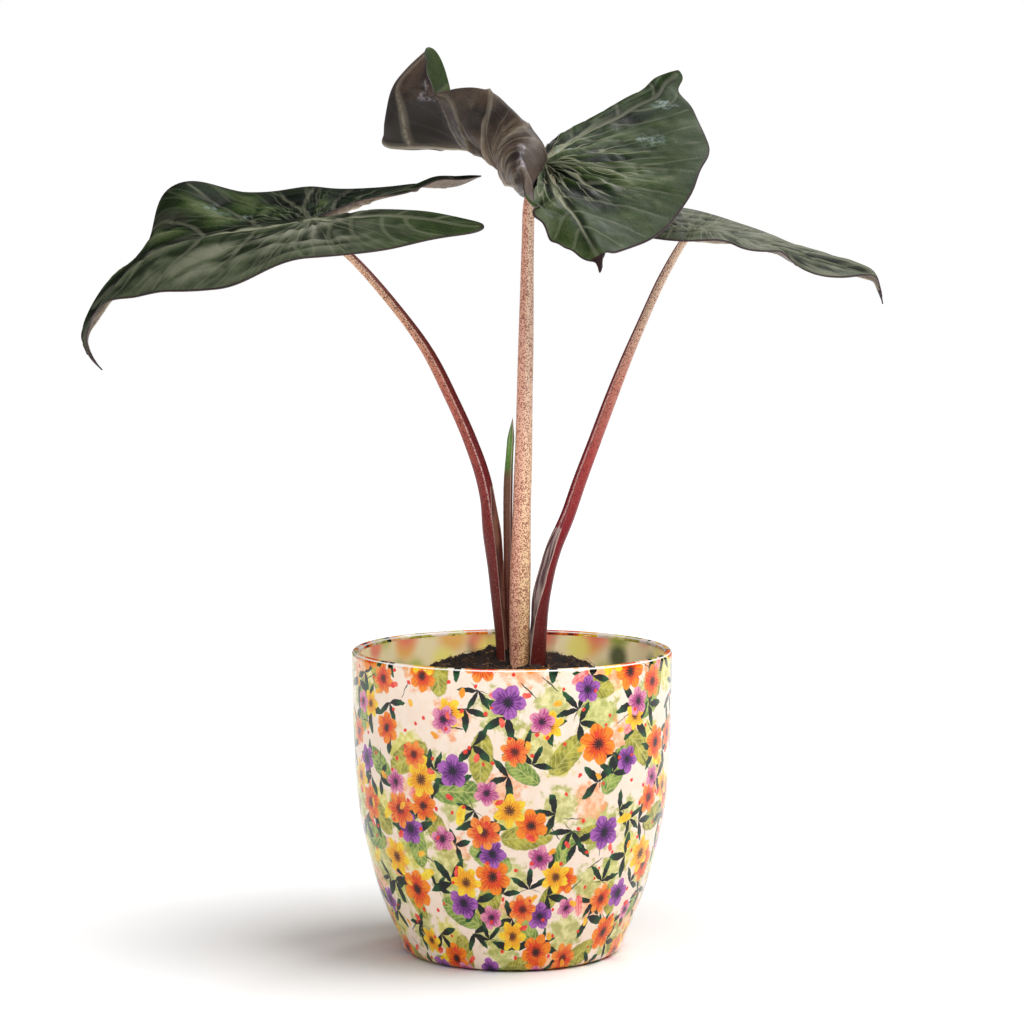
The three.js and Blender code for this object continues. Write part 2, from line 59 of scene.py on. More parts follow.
# %% Node arithmetic
class Wire:
    """A node's output that can be used in sums."""

    def __init__(self, tree, socket):
        self.tree = tree
        self.socket = socket

    def math(self, operation, *others):
        node = self.tree.nodes.new("ShaderNodeMath")
        node.operation = operation
        for socket, value in zip(node.inputs, (self, *others)):
            plug(self.tree, socket, value)
        return Wire(self.tree, node.outputs[0])

    def __add__(self, other):
        return self.math("ADD", other)

    def __sub__(self, other):
        return self.math("SUBTRACT", other)

    def __mul__(self, other):
        return self.math("MULTIPLY", other)

    def __truediv__(self, other):
        return self.math("DIVIDE", other)

    def __pow__(self, other):
        return self.math("POWER", other)

    def ramp(self, low, high, start=0.0, end=1.0):
        """Rises softly from start to end as the value goes from low to high."""
        node = self.tree.nodes.new("ShaderNodeMapRange")
        node.interpolation_type = "SMOOTHSTEP"
        plug(self.tree, node.inputs["Value"], self)
        bounds = {"From Min": low, "From Max": high, "To Min": start, "To Max": end}
        for name, value in bounds.items():
            plug(self.tree, node.inputs[name], value)
        return Wire(self.tree, node.outputs["Result"])


def plug(tree, socket, value):
    """Links a wire to a socket, or sets the socket to a plain value."""
    if isinstance(value, Wire):
        tree.links.new(value.socket, socket)
        return
    if socket.type == "RGBA" and len(value) == 3:
        value = (*value, 1)
    socket.default_value = value


def add_node(tree, kind, output, inputs=None, **settings):
    node = tree.nodes.new(kind)
    for key, value in settings.items():
        setattr(node, key, value)
    for key, value in (inputs or {}).items():
        plug(tree, node.inputs[key], value)
    return Wire(tree, node.outputs[output])


def set_inputs(tree, shader, **inputs):
    """Sets or links inputs of a shader, each named in small letters with underscores."""
    for key, value in inputs.items():
        name = key.replace("_", " ").title().replace("Ior", "IOR")
        plug(tree, shader.inputs[name], value)


def new_material(name, **fixed):
    """A material, its nodes and its shader, with the given values on the shader's own sockets."""
    material = bpy.data.materials.new(name)
    material.use_nodes = True
    tree = material.node_tree
    shader = tree.nodes["Principled BSDF"]
    set_inputs(tree, shader, **fixed)
    return material, tree, shader


def blend_colour(tree, share, first, second):
    node = tree.nodes.new("ShaderNodeMix")
    node.data_type = "RGBA"
    for index, value in ((0, share), (6, first), (7, second)):
        plug(tree, node.inputs[index], value)
    return Wire(tree, node.outputs[2])


def noise(tree, vector, scale, detail=2.0, rough=0.5):
    inputs = {"Vector": vector, "Scale": scale, "Detail": detail, "Roughness": rough}
    return add_node(tree, "ShaderNodeTexNoise", "Fac", inputs)


def cells(tree, vector, scale, feature="DISTANCE_TO_EDGE"):
    inputs = {"Vector": vector, "Scale": scale}
    return add_node(tree, "ShaderNodeTexVoronoi", "Distance", inputs, feature=feature)


def bump(tree, height, depth, under=None):
    """A surface relief, its depth in metres, laid over an earlier one."""
    inputs = {"Height": height, "Distance": depth, "Strength": 1.0}
    if under:
        inputs["Normal"] = under
    return add_node(tree, "ShaderNodeBump", "Normal", inputs)


def object_place(tree):
    return add_node(tree, "ShaderNodeTexCoord", "Object")


def surface_place(tree):
    return add_node(tree, "ShaderNodeUVMap", "UV", uv_map="surface")


def screen_colour(red, green, blue):
    """A colour as a screen shows it, from 0 to 255, as shares of light."""
    return tuple(((value / 255 + 0.055) / 1.055) ** 2.4 for value in (red, green, blue))


def tint(tree, share, colour, screen):
    """Lays a share of a screen colour over a colour."""
    return blend_colour(tree, share, colour, screen_colour(*screen))


def colour_along(tree, value, stops):
    """A colour that changes along a value from 0 to 1: (place, red, green, blue) stops."""
    node = tree.nodes.new("ShaderNodeValToRGB")
    elements = node.color_ramp.elements
    while len(elements) < len(stops):
        elements.new(0.5)
    for element, (place, *colour) in zip(elements, stops):
        element.position = place
        element.color = (*screen_colour(*colour), 1)
    plug(tree, node.inputs["Fac"], value)
    return Wire(tree, node.outputs["Color"])


def attribute(tree, name):
    return add_node(tree, "ShaderNodeAttribute", "Fac", attribute_name=name)


def parts_of(tree, vector):
    node = tree.nodes.new("ShaderNodeSeparateXYZ")
    plug(tree, node.inputs[0], vector)
    return [Wire(tree, output) for output in node.outputs]


def vector_of(tree, x, y, z=0.0):
    return add_node(tree, "ShaderNodeCombineXYZ", "Vector", {"X": x, "Y": y, "Z": z})


print("node helpers are ready")

# %% [markdown]
# The picture is taken from a little above the pot's rim with a long lens, so upright lines stay
# upright and the leaves aren't drawn out.

# %% Camera
CAMERA_PLACE = Vector((0, -1.300, 0.302))
CAMERA_AIM = Vector((0, 0, 0.193))
FOCAL_PIXELS = 2985
IMAGE_PIXELS = 1024
SENSOR_WIDTH = 36

camera = bpy.data.objects.new("camera", bpy.data.cameras.new("camera"))
camera.data.sensor_width = SENSOR_WIDTH
camera.data.lens = FOCAL_PIXELS / IMAGE_PIXELS * SENSOR_WIDTH
camera.location = CAMERA_PLACE
camera.rotation_euler = (CAMERA_AIM - CAMERA_PLACE).to_track_quat("-Z", "Y").to_euler()
bpy.context.scene.collection.objects.link(camera)
bpy.context.scene.camera = camera
bpy.context.scene.view_settings.view_transform = "Standard"
print("camera lens:", round(camera.data.lens, 1), "mm")

# %% [markdown]
# The room is a white studio: an even white sky, a large soft lamp high on the right that lays a
# soft shadow to the left, a strip in front that draws a line of light down the glaze, and a spot
# that reaches into the pot's opening. The sky is brighter to the camera than it is as a light, as
# a white wall is that has lamps of its own.


# %% Lights
def add_lamp(name, kind, place, aim, power, **settings):
    lamp = bpy.data.objects.new(name, bpy.data.lights.new(name, kind))
    lamp.location = place
    lamp.rotation_euler = (Vector(aim) - Vector(place)).to_track_quat("-Z", "Y").to_euler()
    lamp.data.energy = power
    for key, value in settings.items():
        setattr(lamp.data, key, value)
    bpy.context.scene.collection.objects.link(lamp)
    return lamp


SKY_SEEN = 1.0
SKY_LIGHT = 0.13

add_lamp("key", "SUN", (1.3, -0.2, 2.1), (0, 0, 0.1), 2.5, angle=math.radians(48))
add_lamp("back_softbox", "AREA", (0.4, 0.9, 1.2), (0, 0, 0.3), 2.2, size=0.25)
add_lamp("front_strip", "AREA", (0, -1.0, 1.3), (0, 0, 0.1), 8.5,
         shape="RECTANGLE", size=2.4, size_y=0.02)
add_lamp("left_softbox", "AREA", (-1.2, -0.6, 0.5), (0, 0, 0.1), 1.6, size=0.2)
add_lamp("opening_spot", "SPOT", (0, -0.9, 0.75), (0, 0.02, 0.13), 9,
         spot_size=math.radians(11), spot_blend=1)
world = bpy.data.worlds.new("studio")
world.use_nodes = True
sky = world.node_tree.nodes["Background"]
sky.inputs["Color"].default_value = (1, 1, 1, 1)
seen = add_node(world.node_tree, "ShaderNodeLightPath", "Is Camera Ray")
plug(world.node_tree, sky.inputs["Strength"], seen * (SKY_SEEN - SKY_LIGHT) + SKY_LIGHT)
bpy.context.scene.world = world

# %% [markdown]
# The floor and the background are one white sheet, so no horizon shows. Away from the pot the sheet
# glows, as painted light that keeps it white, and close to the pot it is plain white paper.

# %% Floor
FLOOR_SIZE = 8
FLOOR_DROP = 0.0002
# Distance from the pot's middle at which the glow starts and is full, in m, and how strong it is
PAPER_GLOW = (0.04, 0.24, 0.0, 0.33)

bpy.ops.object.select_all(action="DESELECT")
bpy.ops.mesh.primitive_plane_add(size=FLOOR_SIZE, location=(0, 0, -FLOOR_DROP))
floor = bpy.context.active_object
floor.name = "floor"
bpy.ops.object.transform_apply(location=True)
paper, paper_tree, paper_shader = new_material(
    "studio_paper", roughness=0.9, base_color=(0.95, 0.95, 0.95), emission_color=(1, 1, 1))
from_pot = add_node(
    paper_tree, "ShaderNodeVectorMath", "Value", {0: object_place(paper_tree)}, operation="LENGTH")
# painted light: the paper glows only away from the pot, so the lamps' shade near the pot stays
set_inputs(paper_tree, paper_shader, emission_strength=from_pot.ramp(*PAPER_GLOW))
floor.data.materials.append(paper)
print("floor is", floor.dimensions[0], "m wide")

# %% [markdown]
# Pots are turned shapes. On the wheel a potter raises the wall ring by ring, and here it is the
# same: a circle is the edge of the foot, and each further ring is an extrusion that is then
# widened or narrowed to the radius of the profile at that height.


# %% Turning helper
def smooth_line(points, count):
    """Evenly spaced samples of a smooth curve through points."""
    knots = np.array(points, float)
    last = len(knots) - 1
    knots = np.vstack([2 * knots[0] - knots[1], knots, 2 * knots[-1] - knots[-2]])
    place = np.linspace(0, last, count)
    span = np.minimum(place.astype(int), last - 1)
    f = (place - span)[:, None]
    a, b, c, d = (knots[span + i] for i in range(4))
    square = 2 * a - 5 * b + 4 * c - d
    cube = 3 * b - a - 3 * c + d
    return 0.5 * (2 * b + (c - a) * f + square * f ** 2 + cube * f ** 3)


def turn(name, profile, segments):
    """A round shape from a profile of (radius, height) in mm that starts and ends on the axis."""
    rings = [(radius * MM, height * MM) for radius, height in profile[1:-1]]
    bpy.ops.object.select_all(action="DESELECT")
    bpy.ops.mesh.primitive_circle_add(
        vertices=segments, radius=rings[0][0], fill_type="NGON", location=(0, 0, rings[0][1]))
    piece = bpy.context.active_object
    piece.name = name
    bpy.ops.object.transform_apply(location=True)
    bpy.ops.object.mode_set(mode="EDIT")
    bpy.ops.mesh.select_mode(type="EDGE")
    bpy.ops.mesh.select_all(action="SELECT")
    bpy.ops.mesh.region_to_loop()
    for (radius, height), (next_radius, next_height) in zip(rings, rings[1:]):
        bpy.ops.mesh.extrude_edges_move(
            TRANSFORM_OT_translate={"value": (0, 0, next_height - height)})
        share = next_radius / radius
        bpy.ops.transform.resize(value=(share, share, 1), center_override=(0, 0, next_height))
    bpy.ops.mesh.edge_face_add()
    bpy.ops.mesh.select_all(action="SELECT")
    bpy.ops.mesh.normals_make_consistent(inside=False)
    bpy.ops.object.mode_set(mode="OBJECT")
    bpy.ops.object.shade_smooth_by_angle(angle=math.radians(50))
    return piece


def arc(centre_radius, centre_height, radius, start, end, count):
    """Points on a round bead of the profile, from one angle to another in degrees."""
    angles = np.radians(np.linspace(start, end, count))
    return [
        (centre_radius + radius * math.cos(a), centre_height + radius * math.sin(a)) for a in angles]


def finish_piece(piece, node, slot, *materials):
    """Gives a finished piece its materials, hangs it on the root and hides the solid of the frame it
    stands for.
    """
    kinds = [face.material_index for face in piece.data.polygons]
    piece.data.materials.clear()
    for material in materials:
        piece.data.materials.append(material)
    piece.data.polygons.foreach_set("material_index", kinds)
    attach(piece, "root")
    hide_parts(node)
    piece.data.calc_loop_triangles()
    print(piece.name, "has", len(piece.data.loop_triangles), "triangles")


# %% [markdown]
# The glazed pot narrows towards its foot, stands nearly straight from the middle up, and ends in a
# rounded lip. The wall is 4 mm thick.

# %% Glazed pot
POT_HEIGHT = 133
POT_WALL = 4
POT_FLOOR = 7
POT_LIP = 2
POT_FOOT_RADIUS = 44
POT_FOOT_ROUND = 6
POT_OUTLINE = [(50, 6), (57.8, 25), (63.1, 43), (67, 61), (69, 80), (69.9, 101), (70.3, 131)]
POT_SEGMENTS = 192

pot_wall = smooth_line(POT_OUTLINE, 60)
pot_lip = arc(pot_wall[-1][0] - POT_LIP, POT_HEIGHT - POT_LIP, POT_LIP, 0, 180, 13)
pot_inside = [(r - POT_WALL, z) for r, z in pot_wall[::-1][1:] if z > POT_FLOOR + POT_WALL]
pot_foot = arc(POT_FOOT_RADIUS, POT_FOOT_ROUND, POT_FOOT_ROUND, -90, -10, 9)
pot_profile = [
    (0, 0), (POT_FOOT_RADIUS - 2, 0), *pot_foot, *pot_wall[1:], *pot_lip[1:], *pot_inside,
    (POT_FOOT_RADIUS, POT_FLOOR), (0, POT_FLOOR),
]
pot = turn("glazed_pot", pot_profile, POT_SEGMENTS)
print("pot is", round(pot.dimensions[0] / MM), "mm wide")

# %% [markdown]
# The print on the pot is a scattered garden pattern: blossoms, buds, sprigs of leaves and berries
# on a pale peach ground, as on a decorated transfer. It is drawn by formulas. The wall is unrolled
# into millimetres round and up, and cut into a grid of cells. Each cell turns its motif by a random
# angle, moves it a little and shows it or not, and several grids lie over each other. Photographs
# or hand-made images could do it too, but formulas stay sharp at any size and need no file.
# A whole number of cells goes round the pot, so the pattern has no seam.


# %% Print helpers
PRINT_RADIUS = 70
AROUND = 2 * math.pi * PRINT_RADIUS
PEACH = (0.92, 0.73, 0.58)
PALE_PEACH = (0.95, 0.79, 0.67)
GRID_SHIFT = 0.37
# Seed, dark and light colour of each grid of blots, leaves, buds and small buds
BLOTS = (
    (21, (0.6, 0.54, 0.05), (0.88, 0.8, 0.26)), (22, (0.36, 0.4, 0.06), (0.72, 0.7, 0.24)),
    (23, (0.9, 0.34, 0.14), (0.95, 0.62, 0.4)), (24, (0.42, 0.42, 0.1), (0.78, 0.74, 0.3)),
)
LEAFLETS = ((1, (0.22, 0.21, 0.02), (0.52, 0.46, 0.06)), (2, (0.1, 0.2, 0.03), (0.36, 0.46, 0.1)))
BUDS = ((19, (0.86, 0.07, 0.08), (0.95, 0.42, 0.38)), (20, (0.9, 0.5, 0.01), (0.95, 0.78, 0.06)))
SMALL_BUDS = ((11, (0.78, 0.02, 0.02), (0.93, 0.16, 0.1)), (12, (0.88, 0.3, 0.01), (0.95, 0.55, 0.05)))
# Seed, leaves and radius of each grid of sprigs
SPRIGS = ((3, 5, 10), (4, 4, 9), (5, 6, 9), (16, 5, 10.5))
# Seed, colours of the heart, the petals' base and their ends, petals, how pointed they are, radius
BLOSSOMS = (
    (6, (0.03, 0.005, 0.003), (0.72, 0.05, 0.003), (0.93, 0.27, 0.01), 6, 0.6, 7.6),
    (7, (0.01, 0.003, 0.02), (0.12, 0.015, 0.17), (0.42, 0.12, 0.46), 5, 0.7, 6.6),
    (8, (0.12, 0.03, 0.003), (0.86, 0.32, 0.005), (0.95, 0.66, 0.03), 6, 1.6, 7.2),
    (9, (0.08, 0.008, 0.004), (0.7, 0.04, 0.01), (0.93, 0.3, 0.04), 7, 0.7, 6.8),
    (10, (0.02, 0.004, 0.02), (0.4, 0.04, 0.2), (0.8, 0.3, 0.42), 5, 0.8, 5.4),
)


class Motif:
    """One grid of motifs: each has its own centre, turn and random shares."""

    def __init__(self, tree, around, up, columns, row, seed, wander):
        width = AROUND / columns
        line = up / row + seed * GRID_SHIFT
        line_number = line.math("FLOOR")
        place = around / width + line_number.math("MODULO", 2) * 0.5 + seed * GRID_SHIFT + columns
        cell = place.math("FLOOR")
        number = vector_of(tree, cell.math("MODULO", columns), line_number, seed)
        dice = tree.nodes.new("ShaderNodeTexWhiteNoise")
        plug(tree, dice.inputs["Vector"], number)
        shift_x, shift_y, self.turn = parts_of(tree, Wire(tree, dice.outputs["Color"]))
        self.luck = Wire(tree, dice.outputs["Value"])
        x = (place - cell - 0.5 - (shift_x - 0.5) * wander) * width
        y = (line - line_number - 0.5 - (shift_y - 0.5) * wander) * row
        self.angle = y.math("ARCTAN2", x) + self.turn * (2 * math.pi)
        self.distance = (x * x + y * y).math("SQRT") / (self.luck * 0.5 + 0.85)
        self.along = self.distance * self.angle.math("COSINE")
        self.across = self.distance * self.angle.math("SINE")

    def shown(self, share):
        """1 in the share of the cells whose luck is low enough, else 0."""
        return self.luck.math("LESS_THAN", share)

    def petals(self, radius, count, notch, sharp=1.0, share=1.0):
        """The share of paint in a round flower."""
        wave = (self.angle * (count / 2)).math("COSINE").math("ABSOLUTE") ** sharp
        edge = (wave * notch + (1 - notch)) * radius
        return (edge - self.distance).ramp(-0.15, 0.25) * self.shown(share)

    def lances(self, radius, count, share):
        """A star of narrow leaves, each with a point."""
        wave = (self.angle * (count / 2)).math("SINE").math("ABSOLUTE") * -1 + 1
        return (wave ** 0.6 * radius - self.distance).ramp(-0.1, 0.2) * self.shown(share)

    def oval(self, length, width, share=1.0):
        reach = (self.along / length) ** 2 + (self.across / width) ** 2
        return reach.ramp(0.85, 1.05, 1, 0) * self.shown(share)


def paint_print(tree, around, up, wash):
    """The whole pattern as a colour. wash is a soft cloud that makes the paint uneven."""
    def grid(columns, row, seed, wander=0.3):
        return Motif(tree, around, up, columns, row, seed, wander)

    def over(share, first, second):
        return blend_colour(tree, share, first, second)

    def two_tone(dark, light):
        return over(wash.ramp(0.35, 0.65), dark, light)

    colour = over(wash.ramp(0.3, 0.75), PEACH, PALE_PEACH)
    for seed, dark, light in BLOTS:
        blot = grid(11, 27, seed, 0.5)
        edge = blot.distance + (wash - 0.5) * 18
        colour = over(edge.ramp(6, 10, 0.9, 0) * blot.shown(0.75), colour, two_tone(dark, light))
    for seed, dark, light in LEAFLETS:
        leaf = grid(12, 31, seed)
        colour = over(leaf.oval(10, 4.8, 0.85), colour, two_tone(dark, light))
        off_rib = leaf.across.math("ABSOLUTE")
        ribs = ((leaf.along - off_rib * 1.1) * 2.6).math("SINE").ramp(0.6, 0.95, 0, 0.5)
        ribs = ribs.math("MAXIMUM", off_rib.ramp(0.15, 0.4, 0.6, 0))
        colour = over(ribs * leaf.oval(9.4, 4.3, 0.85), colour, (0.66, 0.62, 0.2))
    for seed in (17, 18):
        twig = grid(17, 21, seed, 0.5)
        colour = over(twig.oval(5, 0.25, 0.4), colour, (0.02, 0.03, 0.02))
    for seed, count, size in SPRIGS:
        sprig = grid(12, 26, seed, 0.45)
        spray = sprig.lances(size, count, 0.8)
        spray = spray * sprig.angle.math("COSINE").ramp(-0.35, -0.2)
        tip = (sprig.distance / size + (wash - 0.5)).ramp(0.35, 0.9)
        colour = over(spray, colour, over(tip, (0.003, 0.004, 0.004), (0.01, 0.075, 0.02)))
    for seed, dark, light in BUDS:
        bud = grid(11, 23, seed, 0.5)
        colour = over(bud.oval(5.2, 2.3, 0.45), colour, two_tone(dark, light))
        colour = over(bud.oval(4.6, 0.35, 0.45) * 0.7, colour, dark)
    for seed, heart, inner, outer, count, sharp, size in BLOSSOMS:
        flower = grid(10, 31, seed, 0.45)
        petals = flower.petals(size, count, 0.36, sharp, 0.74)
        rays = (flower.angle * (count * 3.5)).math("COSINE") * 0.14 + (wash - 0.5) * 1.5
        reach = (flower.distance / size + rays).ramp(0.25, 0.95)
        colour = over(petals, colour, over(reach, inner, outer))
        folds = (flower.angle * (count / 2)).math("COSINE").math("ABSOLUTE").ramp(0.0, 0.4, 0.75, 0)
        colour = over(folds * petals, colour, inner)
        colour = over(flower.petals(size * 0.34, 2 * count + 1, 0.6, 1.0, 0.74), colour, heart)
    for seed, dark, light in SMALL_BUDS:
        bud = grid(21, 17, seed, 0.5)
        colour = over(bud.oval(2.2, 1.3, 0.4), colour, two_tone(dark, light))
    for seed in (13, 14):
        berry = grid(31, 11, seed, 0.6)
        colour = over(berry.petals(0.95, 3, 0.05, 1.0, 0.4), colour, (0.8, 0.04, 0.02))
    return colour


# %% [markdown]
# Outside, the print is sharp under a hard clear glaze. Inside, the glaze ran while it was fired, so
# the colours are soft clouds there, except in a narrow sharp band under the lip. Along the lip's
# edges a fine white line is a painted highlight. A weak glow of the inner glaze is painted light
# that brightens the inside.

# %% Glaze
GLAZE_GLOSS = {"roughness": 0.08, "specular_ior_level": 0.32}
LIP_HIGHLIGHT_HEIGHT = 132.4
HIGHLIGHT_WHITE = (1, 0.97, 0.93)
BRUSH_WOBBLE = 1.7
SHARP_BAND = 3
# strength of the painted glow that brightens the inside
WALL_GLOW = 0.18
CLOUD_GROUND = (0.98, 0.82, 0.5)
CLOUDS = (
    (0.5, 0.55, 0.1), (0.95, 0.5, 0.12), (0.04, 0.07, 0.02), (0.95, 0.22, 0.16), (0.97, 0.85, 0.22),
    (0.25, 0.32, 0.06),
)


def wall_place(tree):
    """Millimetres round the pot from the back, and millimetres up."""
    x, y, z = parts_of(tree, object_place(tree))
    around = (x.math("ARCTAN2", y * -1) / (2 * math.pi) + 0.5) * AROUND
    return around, z / MM


def glaze_relief(tree):
    """The slow unevenness of a wall that was thrown by hand."""
    return bump(tree, noise(tree, object_place(tree), 38, 1), 0.0006)


glaze, glaze_tree, glaze_shader = new_material("printed_glaze", **GLAZE_GLOSS)
around, up = wall_place(glaze_tree)
ripple = noise(glaze_tree, object_place(glaze_tree), 420, 3)
ripple_across = noise(glaze_tree, object_place(glaze_tree), 390, 3)
around = around + (ripple - 0.5) * BRUSH_WOBBLE
up = up + (ripple_across - 0.5) * BRUSH_WOBBLE
paint = noise(glaze_tree, object_place(glaze_tree), 260, 4, 0.6)
printed = paint_print(glaze_tree, around, up, paint)
# painted highlight: a fine white line round the lip at this height
lip_highlight = (wall_place(glaze_tree)[1] - LIP_HIGHLIGHT_HEIGHT).math("ABSOLUTE").ramp(0.1, 0.35, 0.9, 0)
printed = blend_colour(glaze_tree, lip_highlight, printed, HIGHLIGHT_WHITE)
set_inputs(glaze_tree, glaze_shader, base_color=printed, normal=glaze_relief(glaze_tree))

soft_glaze, soft_tree, soft_shader = new_material("soft_glaze", **GLAZE_GLOSS)
around, up = wall_place(soft_tree)
colour = CLOUD_GROUND
for seed, cloud in enumerate(CLOUDS):
    blot = Motif(soft_tree, around, up, 13, 24, seed + 21, 0.5)
    share = blot.distance.ramp(3, 10.5, 0.9, 0) * blot.shown(0.7)
    colour = blend_colour(soft_tree, share, colour, cloud)
# painted light: the inside glows weakly in its own colours
set_inputs(soft_tree, soft_shader, base_color=colour, emission_color=colour,
           emission_strength=WALL_GLOW, normal=glaze_relief(soft_tree))

finish_piece(pot, "pot", "glaze", glaze, soft_glaze)
for face in pot.data.polygons:
    middle = face.center
    points_in = face.normal.x * middle.x + face.normal.y * middle.y < 0
    low_enough = middle.z < (POT_HEIGHT - SHARP_BAND) * MM
    is_floor = face.normal.z > 0.5 and middle.z < 2 * POT_FLOOR * MM
    face.material_index = int((points_in and low_enough) or is_floor)
print("soft glaze faces:", sum(face.material_index for face in pot.data.polygons))
